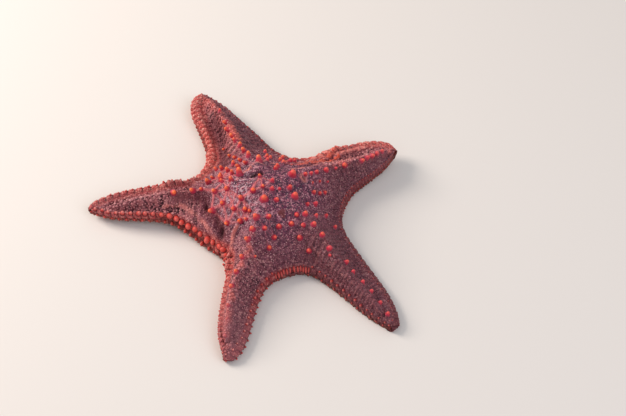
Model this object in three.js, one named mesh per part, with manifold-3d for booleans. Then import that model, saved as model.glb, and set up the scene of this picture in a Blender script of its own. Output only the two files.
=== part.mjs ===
// A knobbed cushion sea star, life size: a domed disc and five keeled arms framed by rows of thick
// marginal plates, with blunt tubercles on its back and a groove under each arm. Millimetres, +Z up.
//
// The body is first worked out as a regular five-pointed star, half an arm at a time. A point of it
// has s, the way out along its arm's midline, and n, the way across. The pose then stretches,
// bends and tilts each arm, turns it to its own azimuth and sets the depth of each notch.
import * as THREE from "three";
import { mergeVertices } from "three/addons/utils/BufferGeometryUtils.js";
import Module from "manifold-3d";

const { clamp, degToRad, lerp, mapLinear, smoothstep } = THREE.MathUtils;

// ---- the regular star's outline
const ARM_COUNT = 5;
const HALF_SECTOR = Math.PI / ARM_COUNT;
const ARM_REACH = 106; // mouth to arm tip
const NOTCH_DISTANCE = 46; // mouth to the bottom of the notch between two arms
const ARM_ROOT_HALF_WIDTH = 16;
const ARM_END_HALF_WIDTH = 9;
const TIP_LENGTH = 24; // over which the tip rounds off
const TIP_SQUARENESS = 2.1;

// ---- its section
const RIM_HEIGHT_AT_NOTCH = 9.5; // the rim is the crest of the marginal plates
const RIM_HEIGHT_AT_TIP = 6.5;
const RIM_WIDTH = 4.5;
const WIDEST_AT = 0.45; // height of the widest line, as a share of the rim's
const SOLE_INSET = 2.4; // from the widest line to the edge of the flat sole
const BACK_RISE = 29; // what the back would rise to, over the rim, on a very wide body
const BACK_REACH = 21; // distance in from the rim that gains most of it
const KEEL_SOFTNESS = 2.6; // rounds the keels
const FLANK_SAG = 1.6; // between keel and rim
const GROOVE_HALF_WIDTH = 3;
const GROOVE_DEPTH = 4.5;
const MOUTH_RADIUS = 7;

// ---- plates and tubercles
const PLATES_ALONG_ARM = 16; // on each side
const PLATE_SWELL = 0.45; // how far each one bulges out
const TUBERCLE_SIDES = 5;
const TUBERCLE_HEIGHT = 1.5; // over the skin, as a share of the base's radius
const TUBERCLE_SINK = 1; // buried part of each one
const TUBERCLE_TIP = 0.42; // tip radius as a share of the base's
const TUBERCLE_GIRTH = 0.85; // its base's radius over the skin, as a share of the one it is named by
// The tubercles round the middle: arm, distance out along it, distance across, radius.
const CENTRE_TUBERCLES = [
  [4, 1.9, 0.6, 1.4], [4, 10.6, -6.7, 1.5], [0, 10.6, 7.4, 1.5], [2, 10.6, 4.5, 1.7], [2, 4.9, 3.4, 1.2],
  [3, 4.9, 3.3, 1.4], [4, 7.7, 0.3, 1], [2, 5, -3, 1.2], [4, 11.5, 5.6, 1.6],
];

// ---- the pose of each arm, counterclockwise from the one nearest +X.
// azimuth and bend in degrees. lean moves the keel sideways. raise lifts the margins on the left and
// right, as seen from the mouth along the arm, and lift the tip. girth and tipGirth scale the width
// of the two sides. dish hollows the two flanks and keelDrop sinks the keel towards the tip. Each row
// of tubercles has the n and s of its first, then the step in s, the count, the step in n, the
// radius of the first and how much smaller each is than the one before.
const ARMS = [
  { name: "arm_1", azimuth: 31.5, reach: 89, bend: 3, lean: -4, raise: [8, 0], lift: 5,
    girth: [1.1, 0.8], tipGirth: [0.88, 1], dish: [1, 0], keelDrop: 0,
    rows: [
      [-1.1, 14.2, 0, 1, 0, 2.3], [-2.4, 23, 3.4, 3, 0, 1.35], [-2.5, 36.7, 0, 1, 0, 1.8],
      [-1.5, 54.2, 0, 1, 0, 1.7], [-1, 68.4, 5.4, 5, 0.2, 1.35], [-13, 24.2, 3.6, 3, -0.4, 1.4],
      [8.7, 12.8, 6.3, 4, 2.5, 1.5], [13, 21, 8, 2, 3, 1.4],
    ] },
  { name: "arm_2", azimuth: 116.5, reach: 106.5, bend: 2, lean: -3, raise: [0, 3], lift: 3,
    girth: [1.12, 1.18], tipGirth: [0.88, 0.75], dish: [3, 0.5], keelDrop: 0,
    rows: [
      [-1.7, 18.8, 0, 1, 0, 2.2], [1, 27.5, 6.6, 4, 0.2, 1.6], [0.5, 53.5, 6.6, 5, 0, 1.35],
      [4.8, 22.3, 5.9, 4, 1.2, 1.4], [9.5, 20.5, 6.5, 2, 1, 1.5], [15, 24.7, 5.9, 3, -1.4, 1.5],
      [-6.5, 21, 5, 2, -0.8, 1.4], [-10.4, 26.5, 4.8, 3, -0.5, 1.4], [-16, 25, 5, 3, -2.4, 1.4],
    ] },
  { name: "arm_3", azimuth: 176.5, reach: 109, bend: 4, lean: 2, raise: [4, 5], lift: 2,
    girth: [0.65, 1.2], tipGirth: [1.22, 0.55], dish: [2.5, 2], keelDrop: 4,
    rows: [
      [-7.4, 15.1, 0, 1, 0, 2.2], [0.5, 45.3, 11.5, 2, 0, 1.8, 0], [-8.6, 27, 8.4, 2, 0, 1.8],
      [0.4, 40.2, 0, 1, 0, 1.2], [2.3, 24.7, 7.2, 2, 0.6, 1.6], [7.3, 17.6, 10.3, 2, 0, 1.7],
      [9.2, 34.8, 0, 1, 0, 2], [10.5, 23.1, 5.6, 2, 4.7, 1.6], [-12, 19.5, 5.5, 3, -1, 1.4],
      [-2.5, 22.5, 5.5, 2, 0, 1.4],
    ] },
  { name: "arm_4", azimuth: 254.5, reach: 107, bend: 10, lean: -4, raise: [0, 1], lift: 0,
    girth: [0.8, 0.9], tipGirth: [1.1, 1.05], dish: [0.5, 0], keelDrop: 0,
    rows: [
      [0.5, 13.3, 0, 1, 0, 2.3], [-0.6, 25, 6.5, 3, -0.8, 1.9], [-1.5, 48.5, 9.2, 3, 0.4, 1.6],
      [-0.5, 79, 8, 3, 0.3, 1.25], [5.8, 21.3, 6.6, 2, -0.5, 1.5], [13.4, 21.3, 7.4, 3, -0.9, 1.6],
      [-15, 23.1, 0, 1, 0, 1.7], [-9, 19, 5, 2, -0.5, 1.2],
    ] },
  { name: "arm_5", azimuth: 314.5, reach: 110, bend: -6, lean: -4.5, raise: [0, 0], lift: 0,
    girth: [1.1, 1], tipGirth: [0.7, 1], dish: [0, 0.5], keelDrop: 0,
    rows: [
      [3.8, 16.9, 0, 1, 0, 2.2], [0.3, 29.2, 7.2, 3, 0, 1.8, 0.05], [-0.5, 51.2, 0, 1, 0, 1.8],
      [3, 61.9, 7.3, 6, 0, 1.45, 0.05], [8, 24.2, 7.7, 2, -1.8, 1.5], [13.2, 25.6, 7.3, 3, 0.3, 1.5],
      [-2.7, 25.6, 6.6, 2, -1.2, 1.5], [-9.9, 24.8, 8, 3, -0.4, 1.6],
    ] },
];
// The notch after each arm: its azimuth and its distance from the mouth.
const NOTCHES = [
  { azimuth: 75, distance: 44 },
  { azimuth: 147, distance: 52.5 },
  { azimuth: 228, distance: 43.6 },
  { azimuth: 286.3, distance: 48 },
  { azimuth: 352.7, distance: 43 },
];
const POSE_ONSET = 2.2; // an arm's full tilt and lean are reached at 1 / POSE_ONSET of its length
const GIRTH_ONSET = 3; // and its full girth at 1 / GIRTH_ONSET
const TILT_FADE = 0.75; // share of the tilt that is gone again at the tip
const DISH_ENDS_AT = 0.72; // share of the half width at which the flank's hollow runs out
const KEEL_SINKS = [0.2, 0.8]; // shares of the arm's length between which the keel sinks
const HOLLOWED_ABOVE = [5, 9]; // heights between which the two come in

// ---- how it is parted
const ARM_CUT_AT = 41; // s of the thin cut between the disc and each arm
const GAP = 0.3;
const DISC_RINGS = 5;

// The madreporite, a sieve plate set in the back beside the keel of one arm.
const MADREPORITE = { arm: 4, s: 17, n: -10, radius: 3.8, above: 0.6, below: 1.6, sides: 10 };

// The mouth lies off the origin, which is under the middle of the whole.
const MOUTH_AT = { x: 16, y: 4.5 };

// ---- the regular half arm
const NOTCH_S = NOTCH_DISTANCE * Math.cos(HALF_SECTOR);
const NOTCH_N = NOTCH_DISTANCE * Math.sin(HALF_SECTOR);
const along = (s) => clamp((s - NOTCH_S) / (ARM_REACH - NOTCH_S), 0, 1);
const rimHeight = (s) => lerp(RIM_HEIGHT_AT_NOTCH, RIM_HEIGHT_AT_TIP, along(s));

// Half the star's width at s: up to the line between two arms on the disc, then the arm's own taper,
// flared so that it meets the next arm square on, with a rounded tip.
function halfWidth(s) {
  if (s <= NOTCH_S) return s * Math.tan(HALF_SECTOR);
  const taper = (ARM_END_HALF_WIDTH - ARM_ROOT_HALF_WIDTH) / (ARM_REACH - NOTCH_S);
  const flare = NOTCH_N - ARM_ROOT_HALF_WIDTH;
  const flareLength = flare / (1 / Math.tan(HALF_SECTOR) + taper);
  const width = ARM_ROOT_HALF_WIDTH + taper * (s - NOTCH_S) + flare * Math.exp((NOTCH_S - s) / flareLength);
  const intoTip = clamp((s - ARM_REACH + TIP_LENGTH) / TIP_LENGTH, 0, 1);
  return width * Math.sqrt(Math.max(0, 1 - intoTip ** TIP_SQUARENESS));
}

// The outline of one half arm, evenly divided by length: two steps to a plate, and finer.
function marginPoints(count) {
  const fine = Array.from({ length: 1201 }, (_, i) => {
    const s = lerp(NOTCH_S, ARM_REACH, Math.sin((i / 1200) * (Math.PI / 2)));
    return new THREE.Vector2(s, i === 1200 ? 0 : halfWidth(s));
  });
  fine[0].y = NOTCH_N;
  const length = [0];
  for (let i = 1; i < fine.length; i++) length.push(length[i - 1] + fine[i].distanceTo(fine[i - 1]));
  return Array.from({ length: count + 1 }, (_, k) => {
    const wanted = (length.at(-1) * k) / count;
    const i = Math.max(1, length.findIndex((l) => l >= wanted - 1e-9));
    return fine[i - 1].clone().lerp(fine[i], (wanted - length[i - 1]) / (length[i] - length[i - 1]));
  });
}

const margins = [];
for (let arm = 0; arm < ARM_COUNT; arm++)
  for (const side of [-1, 1])
    margins.push(
      marginPoints(64).map(({ x, y }) =>
        new THREE.Vector2(x, side * y).rotateAround(new THREE.Vector2(), 2 * HALF_SECTOR * arm),
      ),
    );

function distanceToLine(line, x, y) {
  let nearest = Infinity;
  for (let i = 0; i + 1 < line.length; i++) {
    const [dx, dy] = [line[i + 1].x - line[i].x, line[i + 1].y - line[i].y];
    const t = clamp(((x - line[i].x) * dx + (y - line[i].y) * dy) / (dx * dx + dy * dy), 0, 1);
    nearest = Math.min(nearest, Math.hypot(x - line[i].x - t * dx, y - line[i].y - t * dy));
  }
  return nearest;
}

// How far a point lies inside the outline, plain and with the creases along the keels rounded.
function inset(s, n) {
  if (s >= NOTCH_S && Math.abs(n) >= halfWidth(s) - 1e-6) return { plain: 0, soft: 0 };
  const distances = margins.map((line) => distanceToLine(line, s, n));
  const plain = Math.min(...distances);
  const sum = distances.reduce((total, d) => total + Math.exp((plain - d) / KEEL_SOFTNESS), 0);
  return { plain, soft: Math.max(0, plain - KEEL_SOFTNESS * Math.log(sum)) };
}

function backHeight(s, n) {
  const { plain, soft } = inset(s, n);
  const past = Math.max(0, soft - RIM_WIDTH);
  const across = clamp(past / Math.max(1, inset(s, 0).soft - RIM_WIDTH), 0, 1);
  const rise = BACK_RISE * (1 - Math.exp(-past / BACK_REACH)) - FLANK_SAG * 4 * across * (1 - across);
  const roundOff = Math.sqrt(1 - clamp(1 - plain / RIM_WIDTH, 0, 1) ** 2);
  return rimHeight(s) * lerp(WIDEST_AT, 1, roundOff) + rise;
}

const grooveHalfWidth = (s) =>
  Math.min(GROOVE_HALF_WIDTH * (1 - 0.6 * along(s)), 0.45 * halfWidth(s));

function soleHeight(s, n) {
  const edge = clamp(1 - inset(s, n).plain / SOLE_INSET, 0, 1);
  const lipHeight = rimHeight(s) * WIDEST_AT * (1 - Math.sqrt(1 - edge ** 2));
  const groove = GROOVE_DEPTH * (1 - 0.6 * along(s)) * clamp(1 - n / Math.max(grooveHalfWidth(s), 1e-3), 0, 1);
  const tipCloses = clamp(halfWidth(s) / 4, 0, 1);
  const mouth = GROOVE_DEPTH * clamp(2 - (2 * Math.hypot(s, n)) / MOUTH_RADIUS, 0, 1);
  return Math.max(lipHeight, groove * tipCloses, mouth);
}

// ---- the pose

// Takes a point of the regular star's arm, n and all, to its place in the posed star. Raised margins
// and leaning keels start at the notch, so that the disc's sole stays flat.
function posed(armIndex, s, n, z) {
  const arm = ARMS[armIndex];
  const beyond = Math.max(0, s - NOTCH_S);
  const share = beyond / (ARM_REACH - NOTCH_S);
  const onset = smoothstep(share * POSE_ONSET, 0, 1);
  const side = n > 0 ? 0 : 1;
  const across = clamp(n / Math.max(halfWidth(s), 1e-3), -1, 1);
  const broadened = lerp(1, arm.girth[side], smoothstep(share * GIRTH_ONSET, 0, 1));
  const girth = broadened * lerp(1, arm.tipGirth[side], share ** 2);
  const shifted = n * girth + arm.lean * onset * (1 - across ** 2);
  const tilt = lerp(arm.raise[1], arm.raise[0], (1 + across) / 2) * onset * (1 - TILT_FADE * share ** 2);
  const u = clamp(Math.abs(across) / DISH_ENDS_AT, 0, 1);
  const hollow = arm.dish[side] * onset * 4 * u * (1 - u) * (1 - 0.5 * share ** 2);
  const sunk = arm.keelDrop * smoothstep(share, ...KEEL_SINKS) * (1 - across ** 2) ** 2;
  const height = z + tilt + arm.lift * share ** 2.5 - (hollow + sunk) * smoothstep(z, ...HOLLOWED_ABOVE);
  const out = Math.min(s, NOTCH_S) + (beyond * (arm.reach - NOTCH_S)) / (ARM_REACH - NOTCH_S);
  const bend = degToRad(arm.bend) * share;
  const x = out * Math.cos(bend / 2) - shifted * Math.sin(bend);
  const y = out * Math.sin(bend / 2) + shifted * Math.cos(bend);
  return turned(Math.atan2(y, x) + 2 * HALF_SECTOR * armIndex, Math.hypot(x, y), height);
}

// The regular star's keels and notches, in turn, with how far each is turned and stretched.
const spokes = ARMS.flatMap((arm, i) => [
  { regular: 72 * i, azimuth: arm.azimuth, stretch: 1 },
  { regular: 72 * i + 36, azimuth: NOTCHES[i].azimuth, stretch: NOTCHES[i].distance / NOTCH_DISTANCE },
]).map(({ regular, azimuth, stretch }) => ({
  turn: degToRad(THREE.MathUtils.euclideanModulo(azimuth - regular + 180, 360) - 180),
  stretch,
}));

// Turns and stretches a point by what its two nearest spokes ask for, eased between them.
function turned(angle, radius, z) {
  const place = angle / HALF_SECTOR;
  const before = Math.floor(place);
  const ease = Math.sin(((place - before) * Math.PI) / 2) ** 2;
  const [a, b] = [before, before + 1].map((k) => spokes[THREE.MathUtils.euclideanModulo(k, spokes.length)]);
  const azimuth = angle + lerp(a.turn, b.turn, ease);
  const distance = radius * lerp(a.stretch, b.stretch, ease);
  return new THREE.Vector3(distance * Math.cos(azimuth), distance * Math.sin(azimuth), z);
}

const onBack = (armIndex, s, n) => posed(armIndex, s, n, backHeight(s, Math.abs(n)));

// ---- solids
const wasm = await Module();
wasm.setup();

function solidFrom(geometry) {
  const bare = geometry.clone();
  bare.deleteAttribute("normal");
  bare.deleteAttribute("uv");
  const merged = mergeVertices(bare, 1e-3);
  const index = merged.index.array;
  const kept = [];
  for (let i = 0; i < index.length; i += 3) {
    const [a, b, c] = index.slice(i, i + 3);
    if (a !== b && b !== c && c !== a) kept.push(a, b, c);
  }
  return new wasm.Manifold(
    new wasm.Mesh({
      numProp: 3,
      vertProperties: merged.attributes.position.array,
      triVerts: new Uint32Array(kept),
    }),
  );
}

function geometryFrom(solid) {
  const { vertProperties, triVerts } = solid.getMesh();
  const geometry = new THREE.BufferGeometry();
  geometry.setAttribute("position", new THREE.BufferAttribute(vertProperties, 3));
  geometry.setIndex(new THREE.BufferAttribute(triVerts, 1));
  const flat = geometry.toNonIndexed();
  flat.computeVertexNormals();
  return flat;
}

// One half section: n and z over the sole from its groove to the margin, and on over the back to the
// keel. swell pushes the margin out and in, by turns, to shape the plates.
const SOLE_POINTS = 4;
const BACK_STOPS = [0.5, 0];
function halfSection(s, swell) {
  const edge = halfWidth(s);
  const inner = Math.max(0, edge - RIM_WIDTH);
  const groove = grooveHalfWidth(s);
  const push = swell * clamp(edge / 6, 0, 1);
  const sole = [0, groove, Math.max(groove, edge - SOLE_INSET), edge];
  const back = [edge, Math.max(inner, edge - RIM_WIDTH * 0.3), inner, ...BACK_STOPS.map((stop) => inner * stop)];
  return [
    ...sole.map((n) => ({ n: n === edge ? n + push : n, z: soleHeight(s, n) })),
    ...back.map((n) => ({ n: n > inner ? n + push : n, z: backHeight(s, n) })),
  ];
}

const discStations = Array.from({ length: DISC_RINGS }, (_, i) => ({
  s: NOTCH_S * Math.sin(((i / DISC_RINGS) * Math.PI) / 2),
  swell: 0,
}));
const armStations = marginPoints(2 * PLATES_ALONG_ARM).map(({ x }, i) => ({
  s: i === 2 * PLATES_ALONG_ARM ? ARM_REACH : x,
  swell: PLATE_SWELL * (i === 0 ? 0 : i % 2 ? 1 : -1),
}));
const cut = (s) => ({ s, swell: 0 });
const beforeCut = armStations.filter(({ s }) => s < ARM_CUT_AT - 1);
const afterCut = armStations.filter(({ s }) => s > ARM_CUT_AT + GAP + 1);
const discProfile = [...discStations, ...beforeCut, cut(ARM_CUT_AT)];
const armProfile = [cut(ARM_CUT_AT + GAP), ...afterCut];

// The skin of some arms between their first and last stations, with a flat cap where it is cut.
function hull(armIndices, stations) {
  const positions = [];
  const triangle = (a, b, c) => positions.push(...a, ...b, ...c);
  const sections = stations.map(({ s, swell }) => ({ s, points: halfSection(s, swell) }));
  const cap = (armIndex, { s, points }, facesOut) => {
    const half = points.filter((_, j) => j !== SOLE_POINTS);
    const outline = [...half, ...half.slice(1, -1).reverse().map(({ n, z }) => ({ n: -n, z }))];
    const corners = outline.map(({ n, z }) => posed(armIndex, s, n, z).toArray());
    const flat = outline.map(({ n, z }) => new THREE.Vector2(n, z));
    for (const [a, b, c] of THREE.ShapeUtils.triangulateShape(flat, []))
      if (facesOut) triangle(corners[a], corners[b], corners[c]);
      else triangle(corners[a], corners[c], corners[b]);
  };
  for (const armIndex of armIndices) {
    for (const side of [1, -1])
      for (let i = 0; i + 1 < sections.length; i++) {
        const [inner, outer] = [sections[i], sections[i + 1]].map(({ s, points }) =>
          points.map(({ n, z }) => posed(armIndex, s, side * n, z).toArray()),
        );
        for (let j = 0; j + 1 < inner.length; j++) {
          if (j + 1 === SOLE_POINTS) continue; // sole and back meet here
          const [a, b, c, d] = [inner[j], outer[j], outer[j + 1], inner[j + 1]];
          if (side < 0) (triangle(a, b, c), triangle(a, c, d));
          else (triangle(a, c, b), triangle(a, d, c));
        }
      }
    if (sections[0].s > NOTCH_S) cap(armIndex, sections[0], false);
    if (sections.at(-1).s < ARM_REACH) cap(armIndex, sections.at(-1), true);
  }
  return new THREE.BufferGeometry().setAttribute("position", new THREE.Float32BufferAttribute(positions, 3));
}

// Stands a geometry made along +Y on the back, square to it.
function stoodOnBack(geometry, armIndex, s, n) {
  const foot = onBack(armIndex, s, n);
  const [ds, dn] = [onBack(armIndex, s + 0.5, n), onBack(armIndex, s, n + 0.5)];
  const normal = ds.sub(foot).cross(dn.sub(foot)).normalize();
  geometry.applyQuaternion(new THREE.Quaternion().setFromUnitVectors(new THREE.Vector3(0, 1, 0), normal));
  return geometry.translate(foot.x, foot.y, foot.z);
}

function tubercle({ armIndex, s, n, radius }) {
  const height = radius * TUBERCLE_HEIGHT + TUBERCLE_SINK;
  const base = radius * TUBERCLE_GIRTH;
  const cone = new THREE.CylinderGeometry(base * TUBERCLE_TIP, base, height, TUBERCLE_SIDES);
  return stoodOnBack(cone.translate(0, height / 2 - TUBERCLE_SINK, 0), armIndex, s, n);
}

const tubercles = CENTRE_TUBERCLES.map(([armIndex, s, n, radius]) => ({ armIndex, s, n, radius }));
ARMS.forEach(({ rows }, armIndex) => {
  for (const [across, first, step, count, drift, radius, shrink = 0.04] of rows)
    for (let i = 0; i < count; i++)
      tubercles.push({ armIndex, s: first + step * i, n: across + drift * i, radius: radius * (1 - shrink * i) });
});

// Joins to a body the tubercles that stand on it, between two values of s.
function withTubercles(solid, from, to, armIndices) {
  return tubercles
    .filter(({ s, armIndex }) => s > from && s < to && armIndices.includes(armIndex))
    .map((place) => solidFrom(tubercle(place)))
    .reduce((body, knob) => body.add(knob), solid);
}

// The sieve plate, or the pocket that it lies in when it is grown by a gap.
function sievePlate(grown) {
  const { radius, above, below, sides, arm, s, n } = MADREPORITE;
  const [r, low, high] = [radius + grown, -below - grown, above + grown];
  const profile = [[0, low], [r, low], [r, 0.2 * high], [0.7 * r, 0.85 * high], [0, high]];
  const plate = new THREE.LatheGeometry(profile.map(([x, y]) => new THREE.Vector2(x, y)), sides);
  return solidFrom(stoodOnBack(plate, arm, s, n));
}

// ---- the star
const star = new THREE.Group();
export default star;
const add = (name, solid, color) => {
  const mesh = new THREE.Mesh(
    geometryFrom(solid),
    new THREE.MeshStandardMaterial({ color, roughness: 0.6, metalness: 0 }),
  );
  mesh.name = name;
  star.add(mesh);
  return mesh;
};
const CLEAR_OF_CUT = 2.4; // a tubercle stands at least this far from a cut

const everyArm = ARMS.map((_, i) => i);
const discBody = solidFrom(hull(everyArm, discProfile));
const disc = withTubercles(discBody, 0, ARM_CUT_AT - CLEAR_OF_CUT, everyArm);
add("disc", disc.subtract(sievePlate(GAP)), "#7a3038");
add("madreporite", sievePlate(0), "#8a3a35");
ARMS.forEach(({ name }, i) => {
  const arm = solidFrom(hull([i], armProfile));
  add(name, withTubercles(arm, ARM_CUT_AT + CLEAR_OF_CUT, ARM_REACH, [i]), "#8c2f33");
});
star.position.set(MOUTH_AT.x, MOUTH_AT.y, 0);
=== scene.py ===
"""A knobbed cushion sea star at life size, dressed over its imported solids.

One skin stands for the disc and the arms. It is worked out as the solids are: a regular
five-pointed star, half an arm at a time, whose points have s, the way out along the arm's
midline, and n, the way across. A pose then stretches, bends and tilts each arm. Plates, ribs and
drawn-up strands are raised on that skin, and knobs, spines and granules stand on it.
Lengths are in millimetres until a mesh is made.
"""
from __future__ import annotations

import logging
import math
from dataclasses import dataclass, field
from enum import Enum
from functools import cached_property
from itertools import combinations

import bpy
import numpy as np
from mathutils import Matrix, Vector
from mathutils.kdtree import KDTree

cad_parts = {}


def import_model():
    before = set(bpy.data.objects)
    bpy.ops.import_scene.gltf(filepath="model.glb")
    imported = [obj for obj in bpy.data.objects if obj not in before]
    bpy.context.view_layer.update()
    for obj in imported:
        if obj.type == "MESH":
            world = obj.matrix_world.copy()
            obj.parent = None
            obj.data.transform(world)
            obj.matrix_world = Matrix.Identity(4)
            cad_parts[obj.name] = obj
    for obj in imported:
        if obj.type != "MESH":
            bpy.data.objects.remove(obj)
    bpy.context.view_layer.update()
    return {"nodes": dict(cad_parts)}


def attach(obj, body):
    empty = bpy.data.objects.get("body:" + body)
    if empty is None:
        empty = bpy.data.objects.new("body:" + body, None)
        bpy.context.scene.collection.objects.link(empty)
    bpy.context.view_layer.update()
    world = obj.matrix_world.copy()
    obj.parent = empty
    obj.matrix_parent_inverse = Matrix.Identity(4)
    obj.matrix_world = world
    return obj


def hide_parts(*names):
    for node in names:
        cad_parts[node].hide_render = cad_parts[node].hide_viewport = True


Array = np.ndarray
Pair = tuple[float, float]
Tree = bpy.types.NodeTree
Socket = bpy.types.NodeSocket
Piece = bpy.types.Object

LOG = logging.getLogger("sea_star")
MM = 0.001
BODY = "root"
ARM_COUNT = 5
HALF_SECTOR = math.pi / ARM_COUNT
SIDES = (1, -1)  # the left half of an arm and the right one
HALVES = tuple((arm, side) for arm in range(ARM_COUNT) for side in SIDES)
UP = np.array([0.0, 0.0, 1.0])


# ---- small helpers
def smoothstep(low: float, high: float, value: Array) -> Array:
    """Eases from 0 at low to 1 at high."""
    t = np.clip((np.asarray(value, float) - low) / (high - low), 0, 1)
    return t * t * (3 - 2 * t)


def lerp(start: Array, end: Array, share: Array) -> Array:
    """The value a share of the way from start to end."""
    return start + (end - start) * share


def unit(vectors: Array) -> Array:
    """The vectors at length 1."""
    length = np.linalg.norm(vectors, axis=-1, keepdims=True)
    return vectors / np.maximum(length, 1e-12)


def around(angle: Array) -> Array:
    """Angles in degrees, brought to between -180 and 180."""
    return (angle + 180) % 360 - 180


def on_plan(arm: int | Array, s: Array, n: Array) -> Array:
    """Where points of an arm lie on the plan of the whole regular star.

    Args:
        arm: Index of the arm, one for all or one for each.
        s: Way out along it.
        n: Way across.

    Returns:
        Rows of x and y.
    """
    cos, sin = np.cos(2 * HALF_SECTOR * arm), np.sin(2 * HALF_SECTOR * arm)
    return np.stack([s * cos - n * sin, s * sin + n * cos], -1)


def tree_of(points: Array) -> KDTree:
    """Sorts points so that near ones are found fast."""
    tree = KDTree(len(points))
    for i, place in enumerate(points):
        tree.insert(place, i)
    tree.balance()
    return tree


def lofted(rings: int, sides: int) -> Array:
    """Triangles over a stack of rings that ends in one point.

    Args:
        rings: How many rings, whose points come first, ring by ring.
        sides: How many points each has.

    Returns:
        Rows of three point numbers. The closing point is the last.
    """
    here = np.arange(sides)
    on = (here + 1) % sides
    faces = []
    for k in range(rings - 1):
        a, b = k * sides, (k + 1) * sides
        faces += [np.stack([a + here, a + on, b + on], 1), np.stack([a + here, b + on, b + here], 1)]
    top = (rings - 1) * sides
    faces.append(np.stack([top + here, top + on, here * 0 + rings * sides], 1))
    return np.concatenate(faces)


def linear(hex_colour: str) -> tuple[float, ...]:
    """Turns an sRGB hex colour, as #rrggbb, into linear red, green, blue and alpha."""
    parts = (int(hex_colour[i : i + 2], 16) / 255 for i in (1, 3, 5))
    return (*(c / 12.92 if c <= 0.04045 else ((c + 0.055) / 1.055) ** 2.4 for c in parts), 1.0)


def add_node(tree: Tree, kind: str, inputs: dict, take: int | str = 0, **settings: object) -> Socket:
    """Adds a node with its settings and links.

    Args:
        tree: The node tree.
        kind: The node's type name.
        inputs: Socket name or number to a value, or to the socket that feeds it.
        take: Name or number of the output that is wanted.
        settings: Properties of the node.

    Returns:
        The wanted output of the new node.
    """
    made = tree.nodes.new(kind)
    for name, value in settings.items():
        setattr(made, name, value)
    for name, value in inputs.items():
        if isinstance(value, Socket):
            tree.links.new(value, made.inputs[name])
        else:
            made.inputs[name].default_value = value
    return made.outputs[take]


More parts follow.
